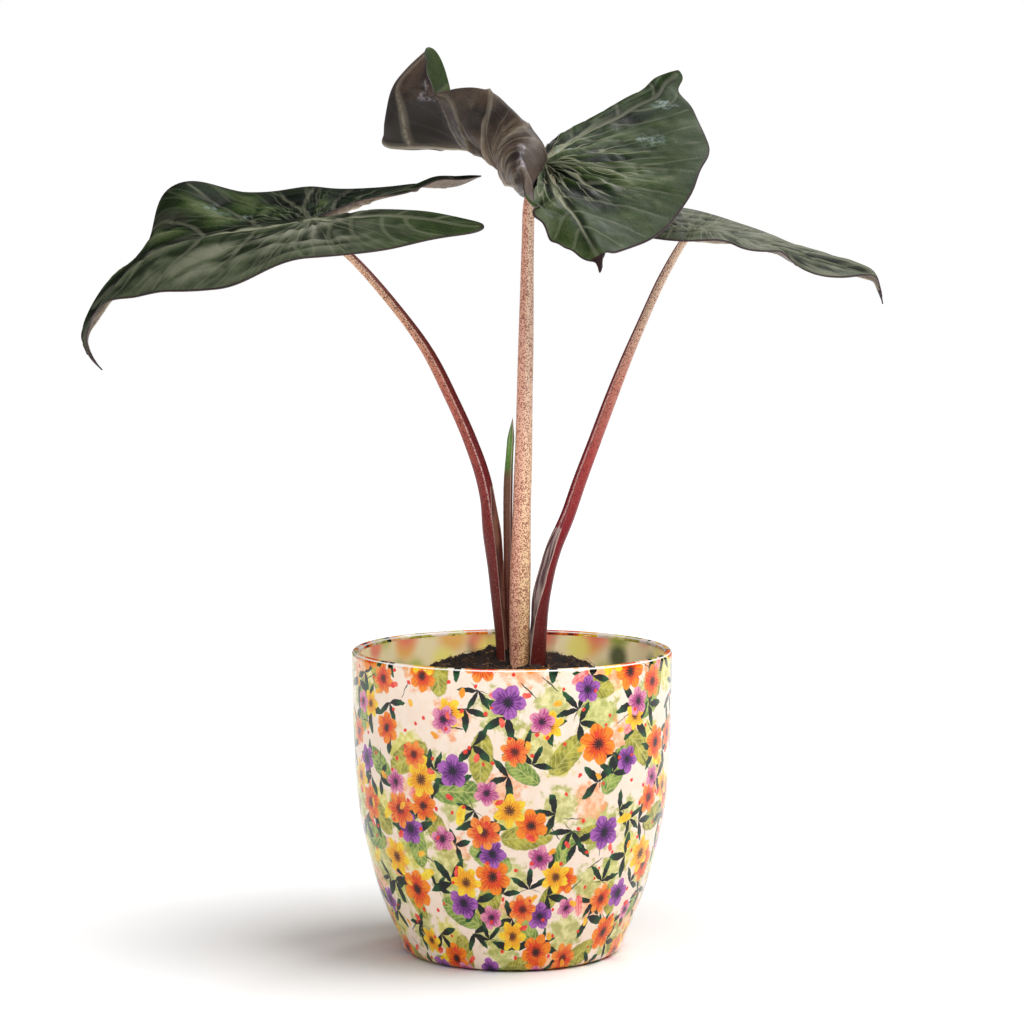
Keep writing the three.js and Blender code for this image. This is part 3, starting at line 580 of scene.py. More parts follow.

# %% [markdown]
# A leaf of this plant is arrow-shaped: the stalk joins it where the two back lobes meet, and a
# midrib runs from there to the tip. The blade is a grid primitive. Its columns run round the
# outline and its rows run outwards from the stalk, so the blade's edge is always a row of points.
# The list below says for each leaf: half its outline from the notch to the tip, its place and turn,
# its bends in degrees at places along it, and soft pushes as (x, y, reach, move). The other entries
# set how strong each kind of relief, each pattern and each painted shade, sheen and highlight is, as
# pairs for the right and the left half.

# %% Leaf shapes
SLIM_OUTLINE = [
    (0, -4), (8, -28), (19, -56), (29, -73), (39, -72), (47, -48), (56, -12),
    (54, 22), (42, 55), (24, 84), (9, 104), (2.5, 118), (0, 142),
]
LEAVES = {
    "left": {
        "outline": SLIM_OUTLINE,
        "at": (-86.7, 0, 319.2),
        "turn": (178, -3, 17),
        "quilt": (2.0, 0.9),
        "creases": (0.9, 0.3),
        "furrows": (0.4, 0.5, 15),
        "tone": (-0.5, -0.19),
        "bloom": (0.0, 0.14),
        "bloom_spots": [(-20, -5, 22, 0.26), (-26, 45, 26, 0.1), (-34, -58, 26, -0.14)],
        "hollows_and_shade": [(33, 12, 9, -0.25), (22, 62, 9, -0.15), (46, -8, 9, -0.15), (-21, 27, 9, -0.1)],
        "calm_behind": -8,
        "pleats": 0.5,
        "lines": (0.36, 0.12),
        "gloss": [(25, 43, 5.5), (22, 31, 3)],
        "spine": [(-75, 4), (-40, -12), (0, -1), (45, -7), (92, -38), (114, -62), (142, -128)],
        "right": {"fold": [(-75, 0), (0, -1), (30, -7), (58, 14), (80, -4), (110, 10)]},
        "left": {"fold": [(-80, 4), (0, 0), (40, -12), (80, -16), (110, 0)], "curl": [(0, -0.1)]},
        "wave": (1.5, 7, 0.1),
        "pushes": [
            (8, -28, 22, (-2, 0, 2)), (29, -73, 18, (-1, 0, -3)), (47, -48, 22, (-3, 0, -3)),
            (56, -12, 25, (-2, 0, 0)), (54, 22, 22, (1, 0, 3)), (48, 40, 16, (-8, 0, 5)),
            (40, 58, 16, (-5, 0, 1)), (32, 71, 14, (-2, 0, 2)), (-8, -28, 22, (0, 0, 3)),
            (-29, -73, 18, (2, 0, -5)), (-47, -48, 22, (-1, 0, -3)), (-56, -12, 22, (3, 0, 2)),
            (-54, 22, 22, (1, 0, 2)), (-24, 84, 14, (0, 0, -2)), (-9, 104, 14, (1, 0, -4)),
            (20, -58, 12, (0, 0, 5.5)), (29, -72, 10, (0, 0, 4.5)), (44, -64, 12, (0, 0, -5)),
        ],
    },
    "centre": {
        "outline": [
            (0, -4), (6, -26), (12, -52), (22, -78), (38, -94), (54, -88), (64, -66), (70, -36),
            (71, -8), (62, 22), (40, 50), (20, 70), (10, 92), (4, 106), (0, 118),
        ],
        "outline_left": [
            (0, -4), (13, -26), (32, -56), (48, -78), (57, -86), (66, -95), (67, -84), (69, -58),
            (74, -14), (69, 18), (56, 50), (38, 76), (16, 98), (5, 106), (0, 118),
        ],
        "at": (13.5, 8, 346.1),
        "turn": (-80, -24, 0),
        "quilt": (1.5, 1.2),
        "creases": (0.6, 0.45),
        "furrows": (0, 0, 10),
        "smooth_from": 42,
        "tone": (0.0, -0.17),
        "bloom": (0, 0),
        "bloom_spots": [],
        "hollows_and_shade": [
            (-13, 33, 10, -0.34), (-7, 13, 7, -0.35), (-19, 50, 7, -0.16), (-42, -47, 7, -0.3),
            (-30, 20, 9, 0.12), (30, -53, 15, 0.3), (42, -18, 10, 0.12), (40, 6, 8, 0.1),
        ],
        "pleats": 1.9,
        "lines": (1.0, 0.05),
        "gloss": [
            (-56, -62, 7), (-50, -24, 8), (-12, -10, 4), (38, 32, 6), (43, 20, 4), (60, -56, 5),
            (44, -50, 4),
        ],
        "spine": [(-80, 0), (0, 0), (80, 2), (108, -4), (116, -50)],
        "right": {
            "fold": [(-85, -10), (0, -35), (60, -20), (80, 0)],
            "roll": [(-85, 2), (-50, 3.5), (0, 5), (30, 6.5), (55, 7), (72, 1)],
            "roll_start": [(-85, 40), (-40, 14), (0, 4), (40, 4)],
        },
        "left": {"curl": [(0, -0.1)], "lift": [(-85, 10), (-15, 0)]},
        "wave": (2.5, 6, 0.1),
        "pushes": [
            (-13, -26, 22, (-3, 0, 1)), (-32, -56, 22, (6, 0, -1)), (-48, -78, 18, (10, 0, -3)),
            (-66, -94, 12, (12, 0, 0)), (-69, -62, 20, (8, 0, 0)), (-72, -38, 20, (4, 0, 2)),
            (-73, -14, 25, (3, 0, 3)), (-69, 18, 22, (-3, 0, 3)), (-56, 50, 22, (-3, 0, 2)),
            (-38, 76, 20, (-3, 0, -1)), (-16, 98, 16, (-2, 0, -1)), (0, 106, 14, (3, 0, 0)),
            (0, 118, 10, (2, 0, 2)), (20, 70, 18, (8, 0, 4)), (10, 92, 14, (4, 0, -1)),
            (71, -8, 16, (-15, 0, 9)), (71, -30, 16, (-9, 1, 0)), (68, -46, 14, (-12, -2, -12)),
            (65, -60, 14, (5, -2, -2)), (60, -74, 14, (18, -2, 12)), (52, -90, 14, (11, 3, 18)),
            (38, -94, 14, (8, 10, -1)), (22, -78, 16, (-15, 7, -8)), (12, -52, 16, (-7, 4, -6)),
            (28, -40, 16, (-1, 1, -2)), (36, -52, 14, (5, -5, 10)), (44, -64, 14, (-10, 2, 5)),
            (28, -60, 14, (-26, -1, -13)), (62, 20, 14, (3, 0, 4)), (50, 38, 12, (-5, 0, -4)),
            (38, 50, 12, (-7, 0, -9)), (29, 60, 12, (1, 0, -8)), (25, 0, 16, (5, 0, -7)),
            (22, 35, 14, (2, 0, -5)), (46, 4, 16, (-1, 0, -5)), (48, 26, 14, (-6, 0, 0)),
            (50, -74, 12, (-9, -1, 4)), (17, 77, 7, (-2, 0, -8)), (12, 86, 6, (0, 0, -3)),
        ],
    },
    "right": {
        "outline": [
            (0, -3.5), (7, -23), (16, -46), (24, -60), (32, -59), (39, -39), (46, -10),
            (44, 18), (34, 45), (20, 68), (8, 83), (2.5, 92), (0, 108),
        ],
        "at": (79.3, 35, 314.3),
        "turn": (16, -8, -9),
        "quilt": (1.2, 1.2),
        "creases": (0.2, 0.2),
        "furrows": (0.45, 0.45, 9.5),
        "tone": (-0.2, -0.2),
        "bloom": (0.22, 0.26),
        "bloom_spots": [(40, -8, 22, -0.1)],
        "hollows_and_shade": [(16, 52, 8, -0.2)],
        "pleats": 0.5,
        "lines": (0.55, 0.45),
        "gloss": [(20, 20, 3)],
        "spine": [(-60, 4), (0, 0), (60, -6), (86, -9), (96, -42), (106, -62)],
        "right": {
            "fold": [(-60, 20), (0, 24), (30, 8), (60, 0)],
            "curl": [(-60, -0.8), (10, -0.9), (40, -0.1)],
        },
        "left": {"fold": [(0, 4), (50, 0)]},
        "wave": (1.5, 7, 0.3),
        "pushes": [
            (39, -39, 20, (5, 0, -1)), (46, -10, 20, (-5, 0, 0)), (44, 18, 20, (-2, 0, 4)),
            (34, 45, 18, (-5, 0, -1)), (20, 68, 16, (0, 0, -2)), (8, 83, 12, (1, 0, -1)),
            (-46, -10, 22, (8, 0, 2)), (-44, 18, 22, (7, 0, 0)), (-34, 45, 20, (6, 0, 2)),
            (-20, 68, 16, (5, 0, 2)), (-8, 83, 12, (3, 0, 1)), (0, 30, 20, (0, 0, 2)),
            (0, 60, 20, (-1, 0, 1)), (0, 108, 12, (-2, 0, 3)),
        ],
    },
}
print("leaf tips are", [leaf["outline"][-1][1] for leaf in LEAVES.values()], "mm from the stalks")

# %% [markdown]
# A leaf bends but doesn't stretch. Lattices or sculpting would stretch it, so each point is walked
# to its place in small steps: along the midrib, whose slope changes on the way, and then out to the
# side over the fold, the curl and the roll of its half. The blade is then turned to its place and
# pushed softly where the real leaf dips. These are the bends and pushes of the solid it stands for.


# %% Bending a blade
BEND_STEPS = 40
FOLD_EASE = 5
ROLL_EASE = 3
LIFT_EASE = 12


def value_at(pairs, place):
    """A smooth value through (place, value) pairs, held flat past both ends."""
    place = np.clip(place, pairs[0][0], pairs[-1][0])
    value = np.full(np.shape(place), float(pairs[0][1]))
    for (start, low), (end, high) in zip(pairs, pairs[1:]):
        share = np.clip((place - start) / (end - start), 0, 1)
        value = value + (high - low) * share * share * (3 - 2 * share)
    return value


def by_half(pair, x):
    """The first of a pair on the right half of the blade, and the second on the left half."""
    return np.where(x >= 0, *pair)


def bell(x, y, at_x, at_y, reach):
    """1 at a place, and softly less away from it."""
    return np.exp(-((x - at_x) ** 2 + (y - at_y) ** 2) / reach ** 2)


def bend_blade(leaf, x, y):
    """Points of the bent blade before it is placed: right +X, apex +Y, upper side +Z."""
    def of_half(name):
        return by_half([value_at(leaf[side].get(name, [(0, 0)]), y) for side in ("right", "left")], x)

    width = np.abs(x)
    fold, curl, roll, roll_start = (of_half(n) for n in ("fold", "curl", "roll", "roll_start"))
    out = np.zeros_like(x)
    along = np.zeros_like(x)
    up = np.zeros_like(x)
    rise = of_half("lift") * np.minimum(width / LIFT_EASE, 1)
    for step in range(BEND_STEPS):
        share = (step + 0.5) / BEND_STEPS
        slope = np.radians(value_at(leaf["spine"], y * share))
        along += np.cos(slope) * y / BEND_STEPS
        up += np.sin(slope) * y / BEND_STEPS
        reached = width * share
        past = np.maximum(reached - roll_start, 0)
        tilt = fold * np.tanh(reached / FOLD_EASE) + curl * reached
        tilt = np.radians(tilt + roll * past * past / (past + ROLL_EASE))
        out += np.cos(tilt) * width / BEND_STEPS
        rise += np.sin(tilt) * width / BEND_STEPS
    slope = np.radians(value_at(leaf["spine"], y))
    return np.stack([np.sign(x) * out, along - rise * np.sin(slope), up + rise * np.cos(slope)], -1)


def place_blade(leaf, points):
    yaw, pitch, roll = np.radians(leaf["turn"])
    flat = math.cos(pitch)
    forward = Vector((math.cos(yaw) * flat, math.sin(yaw) * flat, math.sin(pitch)))
    right = forward.cross(Vector((0, 0, 1))).normalized()
    right.rotate(Matrix.Rotation(-roll, 3, forward))
    axes = np.array([right, forward, right.cross(forward)])
    return points @ axes + np.array(leaf["at"])


def push_blade(leaf, points, x, y):
    for at_x, at_y, reach, move in leaf["pushes"]:
        points = points + bell(x, y, at_x, at_y, reach)[..., None] * np.array(move)
    return points


def grid_normals(points):
    """Unit normals of a rows x columns x 3 grid of points."""
    normal = np.cross(np.gradient(points, axis=0), np.gradient(points, axis=1))
    return normal / (np.linalg.norm(normal, axis=-1, keepdims=True) + 1e-12)


print("a blade bends in", BEND_STEPS, "steps")

# %% [markdown]
# Veins give an alocasia leaf its relief. A stout midrib and two back ribs leave the stalk, and side
# veins curve from them to the margin. Seen from above each vein lies in a valley and the blade
# puffs up between them. Below, each stands out. They are drawn as curves on the flat outline.
# The distance from each point of the blade to its nearest vein shapes that relief, and is kept as
# an attribute, so the finish can draw a pale line along the vein.


# %% Veins
VEIN_SAMPLES = 16
# Share of the midrib where a side vein starts, and share of its length where it meets the margin
SIDE_VEINS = ((0.0, 0.16), (0.16, 0.36), (0.33, 0.53), (0.5, 0.68), (0.65, 0.8))
# Share of the back rib where a vein starts, and how far back it meets the outer margin
LOBE_VEINS = ((0.03, -0.02), (0.2, 0.22), (0.38, 0.42), (0.56, 0.62), (0.72, 0.82))
# Shares of the back rib where a short vein leaves for the notch
NOTCH_VEINS = (0.35, 0.6, 0.8)
MARGIN_SHARE = 0.965
RIB_COUNT = 3
BACK_RIB_THINNER = 2.2


def curve_through(start, control, end):
    """Samples of a curve that leaves start towards control and ends at end."""
    t = np.linspace(0, 1, VEIN_SAMPLES)[:, None]
    start, control, end = (np.array(p, float) for p in (start, control, end))
    return start * (1 - t) ** 2 + control * 2 * t * (1 - t) + end * t ** 2


def side_veins(outline, sign):
    """The back rib and the side veins of one half: (points, half width at the start, at the end)."""
    rim = smooth_line(outline, 400)
    tip = rim[-1][1]
    back = rim[:, 1].argmin()
    lobe, inner, outer = rim[back], rim[:back], rim[back:]

    def margin_at(y):
        return outer[np.abs(outer[:, 1] - y).argmin()] * MARGIN_SHARE

    rib = curve_through((0, 0), (lobe[0] * 0.45, lobe[1] * 0.33), lobe * 0.96)
    veins = [(rib, 1.15, 0.35)]
    for start, rise in SIDE_VEINS:
        end = margin_at(tip * rise)
        control = (end[0] * 0.55, tip * start + (end[1] - tip * start) * 0.28)
        veins.append((curve_through((0, tip * start), control, end), 0.6, 0.22))
    for place, reach in LOBE_VEINS:
        start = rib[int(place * (VEIN_SAMPLES - 1))]
        end = margin_at(lobe[1] * reach)
        control = start + (end - start) * 0.5 + np.array([0.02, 0.12]) * abs(lobe[1])
        veins.append((curve_through(start, control, end), 0.5, 0.2))
    for place in NOTCH_VEINS:
        start = rib[int(place * (VEIN_SAMPLES - 1))]
        end = inner[np.abs(inner[:, 1] - (start[1] + lobe[1] * 0.12)).argmin()]
        veins.append((curve_through(start, (start + end) / 2, end), 0.35, 0.15))
    return [(points * (sign, 1), first, last) for points, first, last in veins]


def vein_field(leaf, x, y):
    """Distance in mm to the nearest vein, that vein's half width, and the distance to the ribs."""
    tip = leaf["outline"][-1][1]
    midrib = (curve_through((0, 0), (0, tip / 2), (0, tip * 0.97)), 1.7, 0.4)
    right_side = side_veins(leaf["outline"], 1)
    left_side = side_veins(leaf.get("outline_left", leaf["outline"]), -1)
    veins = [midrib, right_side[0], left_side[0], *right_side[1:], *left_side[1:]]
    nearest = np.full(x.shape, 1e3)
    half_width = np.zeros(x.shape)
    rib_nearest = np.full(x.shape, 1e3)
    for number, (points, first, last) in enumerate(veins):
        for index, (a, b) in enumerate(zip(points, points[1:])):
            step = b - a
            t = np.clip(((x - a[0]) * step[0] + (y - a[1]) * step[1]) / (step @ step), 0, 1)
            away = np.hypot(x - a[0] - t * step[0], y - a[1] - t * step[1])
            here = first + (last - first) * (index + t) / (len(points) - 1)
            closer = away - here < nearest - half_width
            nearest = np.where(closer, away, nearest)
            half_width = np.where(closer, here, half_width)
            if number < RIB_COUNT:
                rib_nearest = np.minimum(rib_nearest, away + BACK_RIB_THINNER * (number > 0))
    return nearest, half_width, rib_nearest


print("veins per half:", len(side_veins(SLIM_OUTLINE, 1)))

# %% [markdown]
# The upper side is a deep green with a grey bloom under a painted grey sheen, finely netted and
# waxy, with soft patches of painted highlight. Its veins are pale green, and the margin is drawn in
# dark purple. The underside is brown-purple with cream veins, a lilac sheen and painted lilac
# highlights. Both sides share one recipe: the height of the relief picks the colour, as painted shade
# and light, painted streaks of shade and sheen fan out from the stalk, and attributes say where the
# veins, the bloom and sheen, the painted highlights and the margin are.


# %% Leaf finish
BLOOM_AND_SHEEN_COLOUR = (150, 147, 134)
STREAKS_ROUND = 7
STREAK_WANDER = 0.015


def leaf_finish(name, crest_colours, vein, vein_start, margin_colour, gloss_colour, contrast,
                streaks, **fixed):
    """One side of a leaf. contrast sets how mottled it is, and streaks how strong its painted rays of
    shade and sheen are.
    """
    material, tree, shader = new_material(name, **fixed)
    crest, bloom, near, far, gloss, away, half, margin = (attribute(tree, key) for key in (
        "crest", "bloom", "lines_near", "lines_far", "gloss", "vein_away", "vein_half", "margin_away"))
    flat = surface_place(tree)
    across, along, _ = parts_of(tree, flat)
    from_stalk = (across * across + along * along).math("SQRT") / MM
    heading = across.math("ARCTAN2", along)
    pleat_place = vector_of(tree, heading * STREAKS_ROUND, from_stalk * STREAK_WANDER)
    pleat = noise(tree, pleat_place, 1, 1, 0.6)
    pleat_share = from_stalk.ramp(12, 60, near, far * 0.8 + 0.1)
    tone = noise(tree, flat, 60, 4, 0.6)
    fine = noise(tree, flat, 900, 3, 0.6)
    # painted shade and light: crest darkens the hollows and lightens the swellings; the noises add
    # mottling
    height = crest * 0.8 + (tone - 0.5) * contrast + (fine - 0.5) * (contrast * 0.6)
    # painted shade and light: rays from the stalk, darker and lighter as the pleats' bump
    height = height + (pleat - 0.5) * pleat_share * (streaks * 2.1) + 0.08
    colour = colour_along(tree, height, crest_colours)
    # painted sheen: a pale line along each pleat's ridge
    ridge_sheen = (pleat - 0.5).math("ABSOLUTE").ramp(0.0, 0.04, streaks, 0)
    colour = tint(tree, ridge_sheen * from_stalk.ramp(24, 62, near, far), colour, vein)
    # grey bloom and painted sheen: the veil is laid mostly on the swellings, where they stand highest
    bloom = bloom * (tone * 0.4 + crest * 0.8).ramp(0.35, 0.85, 0.1, 1.8)
    colour = tint(tree, bloom, colour, BLOOM_AND_SHEEN_COLOUR)
    halo = (away - half).ramp(0.0, 1.1, 0.2, 0)
    colour = tint(tree, halo, colour, vein)
    line = (away - half * 0.7).ramp(-0.2, 0.25, 1, 0)
    line = line * half.ramp(vein_start, vein_start + 0.65, 0, 0.75)
    colour = tint(tree, line, colour, vein)
    # painted highlights: soft pale patches in the gloss spots, which are also less rough
    glints = noise(tree, flat, 260, 3, 0.6).ramp(0.38, 0.62, 0.25, 1.2)
    shiny_and_highlight = (gloss * glints).ramp(0.3, 0.9)
    colour = tint(tree, shiny_and_highlight * fine.ramp(0.35, 0.6, 0.1, 0.5), colour, gloss_colour)
    colour = tint(tree, margin.ramp(0.3, 1.0, 0.95, 0), colour, margin_colour)
    net_place = vector_of(tree, across + (tone - 0.5) * 0.004, along + (fine - 0.5) * 0.002)
    skin = bump(tree, pleat * pleat_share, 0.0009)
    skin = bump(tree, noise(tree, flat, 1500, 3), 0.00005, skin)
    skin = bump(tree, cells(tree, net_place, 620).ramp(0.0, 0.15), 0.00004, skin)
    wax = noise(tree, flat, 45, 2).ramp(0.35, 0.65, 0.42, 0.6)
    set_inputs(tree, shader, base_color=colour, normal=skin, roughness=wax - shiny_and_highlight * 0.2)
    return material


upper_side = leaf_finish(
    "leaf_upper_side",
    [(0.0, 9, 16, 5), (0.3, 23, 37, 12), (0.55, 47, 64, 27), (0.8, 78, 89, 54), (1.0, 110, 116, 90)],
    vein=(158, 160, 134), vein_start=0.45, margin_colour=(48, 26, 31), gloss_colour=(148, 172, 166),
    contrast=0.8, streaks=0.75, specular_ior_level=0.16)
under_side = leaf_finish(
    "leaf_under_side",
    [(0.0, 136, 118, 98), (0.24, 98, 80, 63), (0.6, 72, 55, 41), (0.95, 36, 27, 19)],
    vein=(196, 184, 160), vein_start=0.1, margin_colour=(48, 28, 32), gloss_colour=(206, 194, 206),
    contrast=1.25, streaks=0.4, specular_ior_level=0.5, sheen_weight=0.06,
    sheen_tint=(0.75, 0.6, 0.85), sheen_roughness=0.4)
print("leaf finishes:", upper_side.name, under_side.name)

# %% [markdown]
# Between its veins the blade is quilted, and no two swellings are alike. Its relief is a sum: puffs
# that grow with the distance from the veins, a valley along each vein, wrinkles round the stalk,
# creases, furrows, soft hollows and a fine roughness. Slow waves that cross each other make each of
# them uneven. The relief is lower near the tip and dies out at the margin.


# %% Blade relief
PUFF_REACH = 6.5
RIB_VALLEY_DEPTH = 1.1
RIB_VALLEY_REACH = 3.6
HOLLOW_DEPTH = 4


def crumple(x, y, seed):
    """A smooth uneven wave between -1 and 1 that never quite repeats."""
    total = np.zeros_like(x)
    rng = np.random.default_rng(seed)
    for _ in range(9):
        heading, phase = rng.uniform(0, 2 * math.pi, 2)
        pace = rng.uniform(0.16, 0.5)
        total += np.sin(pace * (x * math.cos(heading) + y * math.sin(heading)) + phase)
    return total / 4.5


def spots(places, x, y):
    """Soft round spots, each (x, y, reach, share), added up."""
    total = np.zeros_like(x)
    for *spot, share in places:
        total += share * bell(x, y, *spot)
    return total


def blade_relief(leaf, x, y, margin_away, seed):
    """How far each point stands above the smooth blade, in mm, and the veins round it."""
    nearest, half_width, rib_nearest = vein_field(leaf, x, y)
    from_stalk = np.hypot(x, y)
    smooth = 1 - 0.8 * np.clip((from_stalk - leaf.get("smooth_from", 200)) / 18, 0, 1)
    swell = 0.6 + 0.7 * crumple(0.4 * x, 0.4 * y, seed) + 0.25 * crumple(x, y, seed + 1)
    puff = by_half(leaf["quilt"], x) * smooth * (1 - np.exp(-(nearest / PUFF_REACH) ** 2)) * swell
    valley = -0.3 * np.exp(-(nearest / (0.8 + half_width)) ** 2)
    rib_valley = -RIB_VALLEY_DEPTH * np.exp(-(rib_nearest / RIB_VALLEY_REACH) ** 2)
    rib_valley = rib_valley * np.clip(from_stalk / 12, 0.15, 1)
    ray = 9 * np.arctan2(x, y) + 1.1 * crumple(0.5 * x, 0.5 * y, seed + 2)
    wrinkle = leaf["pleats"] * (1 - 2 * np.abs(np.sin(ray)))
    near = np.clip(from_stalk / 16, 0, 1) * np.exp(-(from_stalk / 36) ** 2)
    crease = np.exp(-(crumple(0.75 * x, 0.75 * y, seed + 5) / 0.2) ** 2) * smooth
    *furrow_depths, spacing = leaf["furrows"]
    lane = math.pi * (x + 0.1 * y) / spacing + 1.3 * crumple(0.6 * x, 0.2 * y, seed + 6)
    furrow = by_half(furrow_depths, x) * np.cos(2 * lane)
    fine = 0.14 * crumple(1.9 * x, 1.9 * y, seed + 3)
    relief = valley + rib_valley + puff - by_half(leaf["creases"], x) * crease + furrow
    relief = relief + wrinkle * near + fine
    calm = np.clip(1 + (y - leaf.get("calm_behind", -200)) / 30, 0.1, 1)
    calm = calm * np.clip((leaf["outline"][-1][1] - 14 - y) / 20, 0.1, 1)
    relief = relief * calm * np.clip(margin_away / 9, 0, 1)
    return relief, nearest, half_width, rib_nearest + 3 * (1 - calm)


print("the centre leaf is smoother from", LEAVES["centre"]["smooth_from"], "mm on")

# %% [markdown]
# The blade is thin: 0.6 mm, and over 3 mm at the ribs near the stalk. A Solidify modifier gives it
# that thickness downwards, with a vertex group that holds back all but the ribs, and it gives the
# underside a material of its own. What the finish needs to know of each point is kept beforehand
# in attributes, and its place on the flat outline in the UV map.


# %% Blades
BLADE_RINGS = 84
BLADE_COLUMNS = 432
BLADE_THICK = 0.6
RIB_THICK = 3.4
RIB_REACH = 2.1
APEX_TINT = 8
MERGE = 2e-6


def grid_piece(name, columns, rows):
    """A flat grid to be moved to its form, and each point's share of the rows and the columns."""
    bpy.ops.object.select_all(action="DESELECT")
    bpy.ops.mesh.primitive_grid_add(
        x_subdivisions=columns, y_subdivisions=rows, size=2, location=(0, 0, 0))
    piece = bpy.context.active_object
    piece.name = name
    steps = np.linspace(0, 1, rows + 1), np.linspace(0, 1, columns + 1)
    return piece, *np.meshgrid(*steps, indexing="ij")


def move_points(piece, points):
    """Puts each point of a piece at its place in mm."""
    piece.data.vertices.foreach_set("co", (points * MM).astype(np.float32).ravel())


def set_attributes(piece, **layers):
    """Keeps a number for each point of a piece under each name."""
    for name, values in layers.items():
        layer = piece.data.attributes.new(name, "FLOAT", "POINT")
        layer.data.foreach_set("value", np.resize(np.asarray(values, np.float32), len(layer.data)))


def set_surface(piece, across, along):
    """Keeps each point's place on the flat surface, in mm, as the UV map of that name."""
    corners = np.empty(len(piece.data.loops), np.int32)
    piece.data.loops.foreach_get("vertex_index", corners)
    flat = np.stack([across.ravel(), along.ravel()], -1)[corners] * MM
    piece.data.uv_layers[0].name = "surface"
    piece.data.uv_layers["surface"].data.foreach_set("uv", flat.astype(np.float32).ravel())


def blade_outline(leaf):
    """The closed outline: notch, right lobe, apex, left lobe, notch."""
    count = BLADE_COLUMNS // 2 + 1
    right = smooth_line(leaf["outline"], count)
    left = smooth_line(leaf.get("outline_left", leaf["outline"]), count) * (-1, 1)
    return np.vstack([right, left[::-1][1:]])


def rib_weights(from_stalk, length, margin_share, nearest, half_width, rib_nearest):
    """How much of the ribs' thickness each point gets: all on a rib, a little on a vein."""
    rib_size = np.clip(1 - from_stalk / (0.9 * length), 0, 1) * np.clip(from_stalk / 3, 0.5, 1)
    swell = np.exp(-(rib_nearest / RIB_REACH) ** 2) * rib_size
    small = 0.3 * np.exp(-(nearest / (0.4 + half_width)) ** 2)
    return np.clip(np.maximum(swell, small) * np.clip(margin_share * 14, 0, 1), 0, 1).ravel()


def grow_blade(side, seed):
    """A blade: bent to its form, rippled along the margin, quilted and made solid."""
    leaf = LEAVES[side]
    piece, r, u = grid_piece(f"leaf_blade_{side}", BLADE_COLUMNS, BLADE_RINGS)
    rim = blade_outline(leaf)[np.rint(u * BLADE_COLUMNS).astype(int)]
    x = rim[..., 0] * r
    y = rim[..., 1] * r
    points = place_blade(leaf, bend_blade(leaf, x, y))
    height, waves, phase = leaf["wave"]
    ripple = height * r ** 3 * np.sin(2 * math.pi * (waves * u + phase))
    points = push_blade(leaf, points + grid_normals(points) * ripple[..., None], x, y)
    margin_away = (1 - r) * np.hypot(rim[..., 0], rim[..., 1]) * 0.8
    relief, nearest, half_width, rib_nearest = blade_relief(leaf, x, y, margin_away, seed)
    # these spots dent the blade and are also painted darker, or raise it and are painted lighter where
    # their share is positive
    hollows_and_shade = spots(leaf["hollows_and_shade"], x, y)
    relief = relief + HOLLOW_DEPTH * hollows_and_shade
    move_points(piece, points + grid_normals(points) * (relief + BLADE_THICK / 2)[..., None])

    low, high = np.percentile(relief, (3, 97))
    # painted shade: the "tone" pair makes each half of a leaf darker or lighter as a whole
    right_shade, left_shade = leaf["tone"]
    half_shade = (right_shade + left_shade) / 2 + (right_shade - left_shade) / 2 * np.tanh(x / 4)
    # grey bloom and painted sheen, by half and in soft spots
    bloom = by_half(leaf["bloom"], x) + spots(leaf["bloom_spots"], x, y)
    lines_near, lines_far = leaf["lines"]
    length = leaf["outline"][-1][1]
    from_tip = np.maximum(length - APEX_TINT - y, 0) * 0.4
    # crest is painted shade: the relief's height, each half's painted shade and the painted hollows
    set_attributes(
        piece, crest=(relief - low) / (high - low) + half_shade + hollows_and_shade, bloom=np.clip(bloom, 0, 1),
        lines_near=lines_near, lines_far=lines_far,
        gloss=sum(bell(x, y, *spot) for spot in leaf["gloss"]),
        vein_away=nearest, vein_half=half_width, margin_away=np.minimum(margin_away, from_tip))
    set_surface(piece, x, y)

    group = piece.vertex_groups.new(name="rib")
    weights = rib_weights(np.hypot(x, y), length, 1 - r, nearest, half_width, rib_nearest)
    for index in np.flatnonzero(weights > 0.01):
        group.add([int(index)], float(weights[index]), "REPLACE")

    bpy.ops.object.mode_set(mode="EDIT")
    bpy.ops.mesh.select_all(action="SELECT")
    bpy.ops.mesh.remove_doubles(threshold=MERGE)
    bpy.ops.mesh.flip_normals()
    bpy.ops.object.mode_set(mode="OBJECT")
    piece.data.materials.append(upper_side)
    piece.data.materials.append(under_side)
    solid = piece.modifiers.new("thickness", "SOLIDIFY")
    solid.thickness = RIB_THICK * MM
    solid.offset = -1
    solid.vertex_group = "rib"
    solid.thickness_vertex_group = BLADE_THICK / RIB_THICK
    solid.material_offset = 1
    solid.material_offset_rim = 1
    bpy.ops.object.modifier_apply(modifier="thickness")
    piece.vertex_groups.clear()
    bpy.ops.object.shade_smooth()
    return piece


blades = {side: grow_blade(side, 7 + number) for number, side in enumerate(LEAVES)}
for side, blade in blades.items():
    finish_piece(blade, f"blade_{side}", "leaf", upper_side, under_side)
print("blades:", [tuple(round(d / MM) for d in blade.dimensions) for blade in blades.values()])

# %% [markdown]
# Each leaf stands on a stalk. In its lower part the stalk is a sheath, open on one side, that once
# wrapped the next leaf; above it the stalk is round. The newest leaf is still rolled up, and it
# stands between them as a thin spear. The list below gives each stalk's path in mm, and its radius,
# how deep the sheath is and where it opens, in degrees, at shares of its length.

